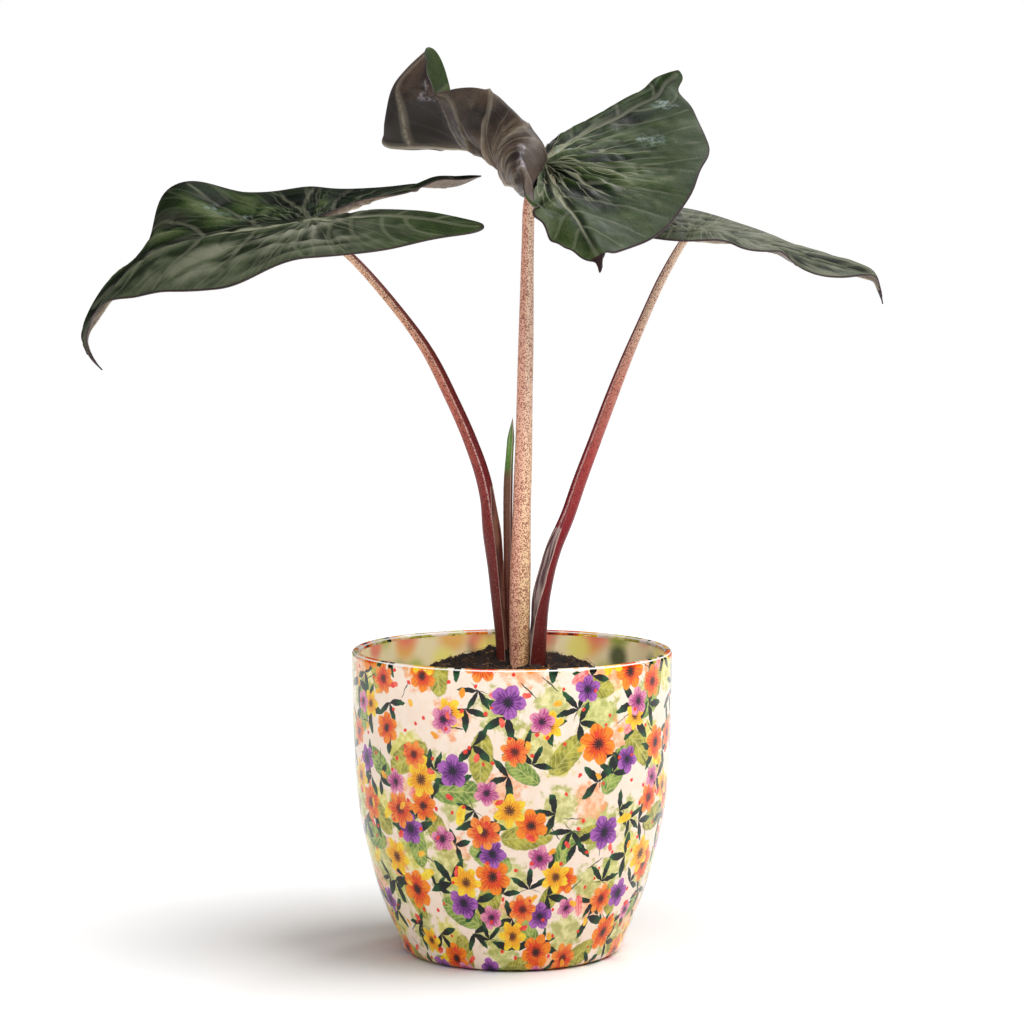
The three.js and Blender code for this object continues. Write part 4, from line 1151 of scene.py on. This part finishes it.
# %% Stalk shapes
STEM_FOOT = 104
STALK_COLUMNS = 72
STALK_ROWS = 300
BACK_SHARE = 0.66
STEMS = {
    "left": {
        "path": [
            (-3.6, 0.5, STEM_FOOT), (-3.7, 0.6, 132), (-5.4, 0.9, 154), (-7.2, 1.2, 172),
            (-9.2, 1.4, 189), (-12.4, 1.5, 207), (-18.3, 1.5, 224.4), (-26.2, 1.4, 242.3),
            (-36.6, 1.2, 262.8), (-50, 1.1, 281.5), (-68, 1, 302.2), (-82.5, 0.5, 314),
            (-86.7, 0, 319.2),
        ],
        "radius": [
            (0, 3.6), (0.11, 3.3), (0.26, 3.8), (0.33, 4.3), (0.4, 3.3), (0.6, 2.8), (0.8, 2.1),
            (1, 1.6),
        ],
        "sheath": [(0, 0.62), (0.2, 0.7), (0.35, 0.68), (0.44, 0.05)],
        "opens": [(0, -25)],
    },
    "centre": {
        "path": [
            (3.4, -2, STEM_FOOT), (3.3, -2, 132), (3.4, -1.7, 154), (3.8, -1.1, 172), (4.4, 0.2, 198),
            (5.1, 1.3, 220), (5.5, 2.3, 242), (6, 3.4, 264), (6.4, 4.4, 285), (6.8, 5.5, 307),
            (7.6, 6.5, 328), (11.2, 7.4, 339.5), (13.1, 7.2, 344.8),
        ],
        "radius": [(0, 4.4), (0.12, 4.4), (0.22, 4.55), (0.4, 3.9), (0.6, 3.4), (0.9, 2.6), (1, 2.1)],
        "sheath": [(0, 0.1), (1, 0.05)],
        "opens": [(0, 130)],
    },
    "right": {
        "path": [
            (9.6, -3.4, STEM_FOOT), (10.4, -3.2, 132), (11.4, -1.6, 145), (13.2, 0.6, 158),
            (17.8, 5.4, 175), (24.3, 10.2, 190), (30, 13.9, 206), (36.7, 17.2, 223.5),
            (43.4, 20.4, 241), (50.1, 23.5, 257.7), (57.2, 26.5, 274), (66.2, 30.1, 293.5),
            (74.7, 33.4, 308.5), (79.3, 35, 314.3),
        ],
        "radius": [
            (0, 4.5), (0.12, 4.5), (0.22, 4), (0.3, 3.5), (0.42, 3.1), (0.6, 2.8), (0.85, 2), (1, 1.7),
        ],
        "sheath": [(0, 0.62), (0.15, 0.7), (0.3, 0.6), (0.39, 0.05)],
        "opens": [(0.1, 184), (0.17, 194), (0.26, 228), (0.39, 240)],
    },
}
NEW_LEAF = {
    "path": [
        (-0.6, 4.4, STEM_FOOT), (-0.8, 4.2, 132), (-1.6, 3.6, 165), (-1.7, 2.8, 200),
        (-0.9, 2.8, 219), (0.3, 3, 234),
    ],
    "radius": [(0, 2), (0.4, 2), (0.75, 2.2), (0.92, 1.7), (1, 0.35)],
    "opens": [(0, -60)],
}
print("stalks:", sorted(STEMS))

# %% [markdown]
# A bevelled curve could make a round stalk, but not a sheath. So a grid primitive is wrapped round
# the stalk's line: its rows go up the stalk and its columns go round it, first round the back and
# then through the opening. The end in the soil is filled, and the upper end is rounded where it
# meets the blade. The opening may turn as the stalk rises.


# %% Stalks
STALK_ANGLE = 60
ROUND_END = 3.0
GROOVES = 17
GROOVE_DEPTH = 0.012
SHEATH_DEPTH = 0.15
SKIN_WIDTH = 20


def stalk_line(stem, rows):
    """Even steps along the stalk: its middle, the way along it, the way it opens, and the side."""
    fine = smooth_line(stem["path"], 900)
    reached = np.concatenate([[0], np.cumsum(np.linalg.norm(np.diff(fine, axis=0), axis=1))])
    even = np.linspace(0, reached[-1], rows)
    middle = np.stack([np.interp(even, reached, fine[:, i]) for i in range(3)], -1)
    along = np.gradient(middle, axis=0)
    along /= np.linalg.norm(along, axis=1, keepdims=True)
    opens = np.radians(value_at(stem["opens"], np.linspace(0, 1, rows)))
    heading = np.stack([np.cos(opens), np.sin(opens), 0 * opens], -1)
    across = heading - along * (along * heading).sum(axis=1)[:, None]
    across /= np.linalg.norm(across, axis=1, keepdims=True)
    return middle, across, np.cross(along, across), reached[-1]


def sheath_section(stem, share, column):
    """A disc with a round bite between the two wings of the sheath: mm across and to the side."""
    size = value_at(stem["radius"], share)
    depth = value_at(stem["sheath"], share)
    bite = size * (0.2 + 0.9 * depth)
    reach = size * (1 - 2 * depth) + bite
    meet_x = (size ** 2 - bite ** 2 + reach ** 2) / (2 * reach)
    meet_y = np.sqrt(size ** 2 - meet_x ** 2)
    back_start = np.arctan2(meet_y, meet_x)
    bite_start = np.arctan2(meet_y, meet_x - reach)
    back = back_start + 2 * (math.pi - back_start) * column / BACK_SHARE
    inner = -bite_start - 2 * (math.pi - bite_start) * (column - BACK_SHARE) / (1 - BACK_SHARE)
    on_back = column <= BACK_SHARE
    x = np.where(on_back, size * np.cos(back), reach + bite * np.cos(inner))
    y = np.where(on_back, size * np.sin(back), bite * np.sin(inner))
    wing = np.minimum(np.hypot(x - meet_x, y - meet_y), np.hypot(x - meet_x, y + meet_y))
    is_sheath = depth > SHEATH_DEPTH
    return x, y, np.where(is_sheath, wing, 9), np.where(on_back, 0.0, 1.0) * is_sheath


def rolled_section(stem, share, column):
    """A leaf that is still rolled up: a spiral whose outer edge lies over the start."""
    size = value_at(stem["radius"], share)
    turn = 2 * math.pi * column
    radius = size * (0.86 + 0.14 * column)
    step = np.minimum(column, 1 - column) * 2 * math.pi * size
    return radius * np.cos(turn), radius * np.sin(turn), step, np.zeros_like(step)


def close_piece(piece):
    """Merges the points where a wrapped grid meets itself, fills its ends and turns faces out."""
    bpy.ops.object.mode_set(mode="EDIT")
    bpy.ops.mesh.select_all(action="SELECT")
    bpy.ops.mesh.remove_doubles(threshold=MERGE)
    bpy.ops.mesh.select_all(action="SELECT")
    bpy.ops.mesh.fill_holes(sides=0)
    bpy.ops.mesh.select_all(action="SELECT")
    bpy.ops.mesh.normals_make_consistent(inside=False)
    bpy.ops.object.mode_set(mode="OBJECT")


def grow_stalk(name, stem, section):
    """A stalk whose section changes along its line, with fine grooves and a rounded end."""
    piece, share, column = grid_piece(name, STALK_COLUMNS, STALK_ROWS)
    middle, across, side, length = stalk_line(stem, STALK_ROWS + 1)
    x, y, wing, inside = section(stem, share, column)
    end_share = np.minimum((1 - share) * length / ROUND_END, 1)
    taper = np.sqrt(np.clip(1 - (1 - end_share) ** 2, 0.02, 1))
    grooves = 1 + GROOVE_DEPTH * np.sin(2 * math.pi * GROOVES * column) * (1 - inside)
    outward = across[:, None] * x[..., None] + side[:, None] * y[..., None]
    move_points(piece, middle[:, None] + outward * (taper * grooves)[..., None])
    facing = outward / (np.linalg.norm(outward, axis=-1, keepdims=True) + 1e-9)
    set_attributes(piece, share=share, wing_away=wing, inside=inside, to_right=facing[..., 0])
    set_surface(piece, column * SKIN_WIDTH, share * length)
    close_piece(piece)
    bpy.ops.object.shade_smooth_by_angle(angle=math.radians(STALK_ANGLE))
    return piece


stalks = {
    side: grow_stalk(f"leaf_stalk_{side}", stem, sheath_section) for side, stem in STEMS.items()}
spear = grow_stalk("rolled_new_leaf", NEW_LEAF, rolled_section)
print("stalk heights:", [round(stalk.dimensions.z / MM) for stalk in stalks.values()])

# %% [markdown]
# The stalks change colour as they rise: wine red at the foot, pink and then cream near the blade.
# Small dark flecks lie all over them, close together on the centre stalk. One side of each stalk is
# darker, as a stripe, with a painted highlight along its edge, and the thin margins of the sheath are
# pale.


# %% Stalk finish
HIGHLIGHT_PINK = (232, 205, 200)
PALE_DOTS = (238, 200, 170)
SHEATH_MARGIN = (206, 184, 170)


def stalk_finish(name, stops, lining, stripe, stripe_side, stripe_edge, stripe_start, fleck,
                 fleck_share, pale_share):
    """A stalk's skin. stops are its colours from foot to top, and lining is the sheath's inside."""
    material, tree, shader = new_material(
        name, roughness=0.4, specular_ior_level=0.25, coat_weight=0.05, coat_roughness=0.25)
    edge_width, shine_share = (0.12, 0.5) if stripe_start else (0.7, 0.1)
    place = object_place(tree)
    share = attribute(tree, "share")
    cloud = noise(tree, place, 90, 3)
    colour = colour_along(tree, share + (cloud - 0.5) * 0.08, stops)
    dark_side = attribute(tree, "to_right") * stripe_side + (cloud - 0.5) * 0.1
    high = share.ramp(stripe_start, stripe_start + 0.12)
    band = dark_side.ramp(stripe_edge, stripe_edge + edge_width) * high
    colour = tint(tree, band * 0.9, colour, stripe)
    # painted highlight: a thin pale line along the stripe's edge
    shine = (dark_side - (stripe_edge - 0.1)).math("ABSOLUTE").ramp(0.05, 0.13, shine_share, 0)
    colour = tint(tree, shine * high, colour, HIGHLIGHT_PINK)
    pale = noise(tree, place, 1300, 2).ramp(0.55, 0.7, 0, pale_share)
    colour = tint(tree, pale, colour, PALE_DOTS)
    fine = noise(tree, place, 1500, 2, 0.6)
    patch = noise(tree, place, 420, 2)
    fewer = share.ramp(0.15, 0.6, -0.06, 0)
    dots = cells(tree, place, 1500, "F1") + (patch - 0.5) * 0.5 + (fine - 0.5) * 0.7 + fewer
    flecks = dots.ramp(fleck_share - 0.06, fleck_share + 0.06, 0.8, 0)
    colour = tint(tree, flecks, colour, fleck)
    streaks = add_node(tree, "ShaderNodeMapping", "Vector", {
        "Vector": surface_place(tree), "Scale": (1, 0.06, 1)})
    ribs = noise(tree, streaks, 900, 3)
    inner = blend_colour(tree, ribs.ramp(0.4, 0.6), *(screen_colour(*shade) for shade in lining))
    colour = blend_colour(tree, attribute(tree, "inside") * 0.85, colour, inner)
    margin = attribute(tree, "wing_away").ramp(0.1, 0.5, 0.75, 0)
    colour = tint(tree, margin, colour, SHEATH_MARGIN)
    skin = bump(tree, ribs, 0.0001, bump(tree, fine, 0.00005))
    set_inputs(tree, shader, base_color=colour, normal=skin)
    return material


red_stalk = stalk_finish(
    "red_stalk_right",
    [(0.1, 82, 22, 18), (0.22, 104, 24, 26), (0.36, 134, 30, 38), (0.52, 176, 72, 68),
     (0.68, 218, 144, 124), (0.82, 240, 202, 176), (1.0, 246, 216, 190)],
    lining=((84, 60, 62), (196, 176, 172)), stripe=(112, 18, 34), stripe_side=-1, stripe_edge=0.56,
    stripe_start=0.2, fleck=(96, 18, 24), fleck_share=0.33, pale_share=0.08)
tan_stalk = stalk_finish(
    "red_stalk_left",
    [(0.1, 92, 28, 22), (0.28, 110, 32, 27), (0.45, 138, 44, 38), (0.6, 190, 104, 84),
     (0.78, 228, 172, 136), (1.0, 240, 200, 164)],
    lining=((92, 44, 36), (150, 100, 78)), stripe=(104, 22, 28), stripe_side=1, stripe_edge=0.22,
    stripe_start=0.3, fleck=(84, 18, 18), fleck_share=0.4, pale_share=0.1)
cream_stalk = stalk_finish(
    "cream_stalk",
    [(0.1, 236, 192, 136), (0.2, 244, 208, 160), (0.38, 246, 206, 168), (0.6, 250, 212, 184),
     (1.0, 254, 226, 198)],
    lining=((150, 110, 90), (220, 190, 160)), stripe=(236, 178, 154), stripe_side=-1,
    stripe_edge=-0.3, stripe_start=0.0, fleck=(136, 40, 32), fleck_share=0.42, pale_share=0.25)
spear_skin = stalk_finish(
    "spear_skin",
    [(0.1, 96, 44, 34), (0.5, 112, 60, 48), (0.79, 104, 70, 52), (0.83, 84, 116, 50),
     (0.9, 92, 140, 52), (1.0, 60, 104, 36)],
    lining=((80, 60, 40), (120, 90, 60)), stripe=(92, 132, 60), stripe_side=-1, stripe_edge=0.5,
    stripe_start=0.84, fleck=(58, 34, 26), fleck_share=0.2, pale_share=0.1)
finish_piece(stalks["left"], "petiole_left", "stalk_red", tan_stalk)
finish_piece(stalks["centre"], "petiole_centre", "stalk_cream", cream_stalk)
finish_piece(stalks["right"], "petiole_right", "stalk_red", red_stalk)
finish_piece(spear, "new_leaf", "spear", spear_skin)

# %% [markdown]
# Potting mix is a heap of crumbs of all sizes, with pale fibres of coconut husk through it. The heap
# itself is turned as the pot is. Its top is then roughened, and dips a little where it was pressed
# down in front of the stalks.

# %% Soil
GROW_BOTTOM = 7.3
GROW_RIM = 112.5
GROW_BASE_RADIUS = 42
GROW_RIM_RADIUS = 57.5
GROW_WALL = 1.2
SOIL_BOTTOM = 9
SOIL_GAP = 0.3
SOIL_MOUND = [
    (55.9, 112.5), (50, 117), (42, 121), (34, 125), (25, 128), (16, 130.6), (8, 131.6), (0.3, 131.8),
]
SOIL_SEGMENTS = 240
SOIL_DIP = 7
SOIL_LUMPS = [(0.9, 0.31, 0.27, 1.7), (0.6, 0.53, 0.47, 0.4)]


def grow_pot_inside(z):
    share = (z - GROW_BOTTOM - GROW_WALL) / (GROW_RIM - GROW_BOTTOM - GROW_WALL)
    return GROW_BASE_RADIUS - GROW_WALL + (GROW_RIM_RADIUS - GROW_BASE_RADIUS) * share


def soil_rise(x, y):
    """The lumps of the heap, its finer roughness and the dip in front of the stalks, in mm."""
    rise = sum(h * np.sin(ax * x + shift) * np.cos(ay * y) for h, ax, ay, shift in SOIL_LUMPS)
    dip = SOIL_DIP * np.clip((2 - y) / 8, 0, 1) * np.exp(-(x * x + y * y) / 24 ** 2)
    return rise - dip + 0.5 * crumple(2.2 * x, 2.2 * y, 31) + 0.35 * crumple(5 * x, 5 * y, 32)


def soil_top(x, y):
    away = np.hypot(x, y)
    rings = np.array(SOIL_MOUND[::-1])
    return np.interp(away, rings[:, 0], rings[:, 1]) + soil_rise(x, y)


soil_sides = [(grow_pot_inside(z) - SOIL_GAP, z) for z in np.linspace(SOIL_BOTTOM, GROW_RIM - 2, 12)]
soil_profile = [(0, SOIL_BOTTOM), *soil_sides, *smooth_line(SOIL_MOUND, 80), (0, SOIL_MOUND[-1][1])]
soil = turn("potting_soil", soil_profile, SOIL_SEGMENTS)
place = np.empty(len(soil.data.vertices) * 3, np.float32)
soil.data.vertices.foreach_get("co", place)
place = place.reshape(-1, 3) / MM
on_top = np.clip((place[:, 2] - GROW_RIM) / 2, 0, 1)
place[:, 2] += on_top * soil_rise(place[:, 0], place[:, 1])
move_points(soil, place)
print("soil top is", round(float(place[:, 2].max()), 1), "mm up")

# %% [markdown]
# Crumbs, bits of bark and fibres are what makes soil look like soil. A bumpy finish alone would stay
# flat at its edge, so they are modelled: six crumbs from rough little spheres and eight fibres from
# narrow grids. Copies of them are then laid on the heap, each turned and scaled by chance.


# %% Crumbs and fibres
CRUMB_COUNT = 1100
BARK_COUNT = 440
FIBRE_COUNT = 900
FIBRE_LENGTH = 10
FIBRE_THICK = 0.15
FIBRE_SWAY = 2.2
SPREAD_RADIUS = 55


def edit_roughly(amount, seed):
    """Moves the points of the active piece a little, each by chance."""
    bpy.ops.object.mode_set(mode="EDIT")
    bpy.ops.mesh.select_all(action="SELECT")
    bpy.ops.transform.vertex_random(offset=amount, uniform=0.8, normal=0.2, seed=seed)
    bpy.ops.object.mode_set(mode="OBJECT")


def model_crumb(number):
    bpy.ops.object.select_all(action="DESELECT")
    bpy.ops.mesh.primitive_uv_sphere_add(segments=7, ring_count=5, radius=MM, location=(0, 0, 0))
    edit_roughly(0.35 * MM, number)
    bpy.ops.object.shade_smooth()
    return bpy.context.active_object


def model_fibre(number):
    """A thin curved thread, wrapped from a small grid."""
    piece, along, column = grid_piece("fibre", 3, 9)
    rng = random.Random(number)
    sway = [rng.uniform(-FIBRE_SWAY, FIBRE_SWAY) for _ in range(4)]
    thick = FIBRE_THICK * (1 - 0.8 * np.abs(2 * along - 1) ** 3)
    bend, twist = np.sin(math.pi * along), np.sin(2 * math.pi * along)
    side = sway[0] * bend + sway[1] * twist + thick * np.cos(2 * math.pi * column)
    rise = 0.6 * abs(sway[2]) * bend + 0.3 * sway[3] * twist + thick * np.sin(2 * math.pi * column)
    move_points(piece, np.stack([FIBRE_LENGTH * (along - 0.5), side, rise], -1))
    close_piece(piece)
    bpy.ops.object.shade_smooth()
    return piece


def scatter(models, count, size_range, tumble, sink, seed, slot_number):
    """Copies of the models all over the heap, tilted by up to tumble and sunk by a share."""
    rng = random.Random(seed)
    copies = []
    for _ in range(count):
        mesh = rng.choice(models).data.copy()
        radius = SPREAD_RADIUS * math.sqrt(rng.random())
        angle = rng.uniform(0, 2 * math.pi)
        x, y = radius * math.cos(angle), radius * math.sin(angle)
        size = rng.uniform(*size_range) * (0.6 + 0.4 * rng.random() ** 3)
        height = float(soil_top(np.float64(x), np.float64(y))) - sink * size
        turned = Matrix()
        for axis, low, high in (("X", -tumble, tumble), ("Y", -tumble, tumble), ("Z", 0, 6.3)):
            turned = Matrix.Rotation(rng.uniform(low, high), 4, axis) @ turned
        stretch = Matrix.Diagonal((size * rng.uniform(0.8, 1.4), size, size * rng.uniform(0.6, 1), 1))
        mesh.transform(Matrix.Translation((x * MM, y * MM, height * MM)) @ turned @ stretch)
        mesh.polygons.foreach_set("material_index", [slot_number] * len(mesh.polygons))
        copy = bpy.data.objects.new("soil_bit", mesh)
        bpy.context.scene.collection.objects.link(copy)
        copies.append(copy)
    return copies


crumb_models = [model_crumb(number) for number in range(6)]
fibre_models = [model_fibre(number) for number in range(8)]
bits = scatter(crumb_models, CRUMB_COUNT, (0.35, 1.35), 3.0, 0.2, 5, 0)
bits += scatter(crumb_models, BARK_COUNT, (0.3, 0.85), 3.0, 0.1, 4, 1)
bits += scatter(fibre_models, FIBRE_COUNT, (0.35, 0.9), 0.5, -0.6, 6, 1)
bpy.ops.object.select_all(action="DESELECT")
for model in crumb_models + fibre_models:
    model.select_set(True)
bpy.ops.object.delete()
print("bits on the soil:", len(bits))

# %% [markdown]
# Moist potting mix is nearly black, with a brown grain, and husk is the colour of straw. The bits
# and the heap get both materials before they are joined, because a joined piece keeps the slots
# that its parts had.

# %% Soil finish
mix, mix_tree, mix_shader = new_material("potting_mix", roughness=0.95)
place = object_place(mix_tree)
grain = noise(mix_tree, place, 1300, 4, 0.7)
mix_colour = blend_colour(
    mix_tree, noise(mix_tree, place, 210, 2).ramp(0.3, 0.7), screen_colour(17, 10, 7),
    screen_colour(50, 30, 19))
mix_colour = tint(mix_tree, grain.ramp(0.58, 0.75, 0, 0.22), mix_colour, (110, 76, 50))
set_inputs(mix_tree, mix_shader, base_color=mix_colour, normal=bump(mix_tree, grain, 0.0007))

husk, husk_tree, husk_shader = new_material("husk_fibre", roughness=0.8)
place = object_place(husk_tree)
husk_colour = blend_colour(
    husk_tree, noise(husk_tree, place, 400, 2).ramp(0.3, 0.7), screen_colour(96, 58, 34),
    screen_colour(176, 126, 82))
husk_relief = bump(husk_tree, noise(husk_tree, place, 2400, 2), 0.0001)
set_inputs(husk_tree, husk_shader, base_color=husk_colour, normal=husk_relief)

bpy.ops.object.select_all(action="DESELECT")
for piece in (soil, *bits):
    piece.data.materials.append(mix)
    piece.data.materials.append(husk)
    piece.select_set(True)
bpy.context.view_layer.objects.active = soil
bpy.ops.object.join()
finish_piece(soil, "soil", "soil", mix, husk)

# %% [markdown]
# The nursery pot is a thin black shell, drawn from a sheet of plastic, with a rolled rim and six
# drain holes. It is turned like the glazed pot, and the holes are cut with a Boolean modifier.

# %% Nursery pot
GROW_LIP_RADIUS = 60
GROW_LIP_HEIGHT = 5
GROW_FOOT_ROUND = 1.2
GROW_BEAD = 0.8
GROW_CORNER = 0.6
GROW_HUB = 10
DRAIN_COUNT = 6
DRAIN_RADIUS = 4
DRAIN_RING = 27.3
DRAIN_DEPTH = 12

lip_foot = GROW_RIM - GROW_LIP_HEIGHT
wall_foot = GROW_BOTTOM + GROW_FOOT_ROUND
wall_inside = GROW_BASE_RADIUS - GROW_WALL
floor_top = GROW_BOTTOM + GROW_WALL
bead_top = GROW_RIM - GROW_BEAD
grow_wall = [
    (GROW_BASE_RADIUS + (GROW_RIM_RADIUS - GROW_BASE_RADIUS) * share,
     wall_foot + (lip_foot - wall_foot) * share) for share in np.linspace(0.05, 1, 14)]
grow_profile = [
    (0, GROW_BOTTOM), (GROW_HUB, GROW_BOTTOM),
    *arc(GROW_BASE_RADIUS - GROW_FOOT_ROUND, wall_foot, GROW_FOOT_ROUND, -90, -5, 6), *grow_wall,
    *arc(GROW_LIP_RADIUS - GROW_BEAD, lip_foot + GROW_BEAD, GROW_BEAD, -90, 0, 5),
    *arc(GROW_LIP_RADIUS - GROW_BEAD, bead_top, GROW_BEAD, 0, 90, 5),
    *arc(GROW_RIM_RADIUS - GROW_WALL + GROW_BEAD, bead_top, GROW_BEAD, 90, 180, 5),
    (wall_inside, floor_top + GROW_CORNER), (wall_inside - GROW_CORNER, floor_top),
    (GROW_HUB, floor_top), (0, floor_top),
]
grow_pot = turn("nursery_pot", grow_profile, 120)
drills = []
for hole in range(DRAIN_COUNT):
    angle = 2 * math.pi * hole / DRAIN_COUNT
    place = (DRAIN_RING * math.cos(angle) * MM, DRAIN_RING * math.sin(angle) * MM, GROW_BOTTOM * MM)
    bpy.ops.object.select_all(action="DESELECT")
    bpy.ops.mesh.primitive_cylinder_add(
        vertices=28, radius=DRAIN_RADIUS * MM, depth=DRAIN_DEPTH * MM, location=place)
    drills.append(bpy.context.active_object)
for drill in drills:
    drill.select_set(True)
bpy.ops.object.join()
drill = bpy.context.active_object
bpy.ops.object.select_all(action="DESELECT")
grow_pot.select_set(True)
bpy.context.view_layer.objects.active = grow_pot
cut = grow_pot.modifiers.new("drains", "BOOLEAN")
cut.operation = "DIFFERENCE"
cut.object = drill
bpy.ops.object.modifier_apply(modifier="drains")
bpy.data.objects.remove(drill)
bpy.ops.object.shade_smooth_by_angle(angle=math.radians(40))

plastic, plastic_tree, plastic_shader = new_material("nursery_plastic", roughness=0.5)
scuff = noise(plastic_tree, object_place(plastic_tree), 160, 5, 0.7)
set_inputs(
    plastic_tree, plastic_shader, roughness=scuff.ramp(0.3, 0.7, 0.4, 0.65),
    base_color=blend_colour(
        plastic_tree, scuff.ramp(0.4, 0.75), (0.012, 0.012, 0.012), (0.045, 0.043, 0.04)),
    normal=bump(plastic_tree, scuff, 0.0002))
finish_piece(grow_pot, "grow_pot", "grow_pot_plastic", plastic)

# %% [markdown]
# The corm is buried in the soil, and its solid has the right shape, so it keeps it and only gets a
# finish: a brown ringed skin with scars.

# %% Corm
skin, skin_tree, skin_shader = new_material("corm_skin", roughness=0.85)
rings = add_node(skin_tree, "ShaderNodeTexWave", "Fac", {
    "Vector": object_place(skin_tree), "Scale": 160, "Distortion": 6, "Detail": 3}, bands_direction="Z")
skin_noise = noise(skin_tree, object_place(skin_tree), 300, 4)
skin_colour = blend_colour(
    skin_tree, rings * skin_noise, screen_colour(74, 50, 36), screen_colour(150, 112, 82))
set_inputs(skin_tree, skin_shader, base_color=skin_colour, normal=bump(skin_tree, rings, 0.0006))
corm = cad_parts["corm"]
corm.data.materials.clear()
corm.data.materials.append(skin)
print("corm is", round(corm.dimensions.x / MM), "mm thick")
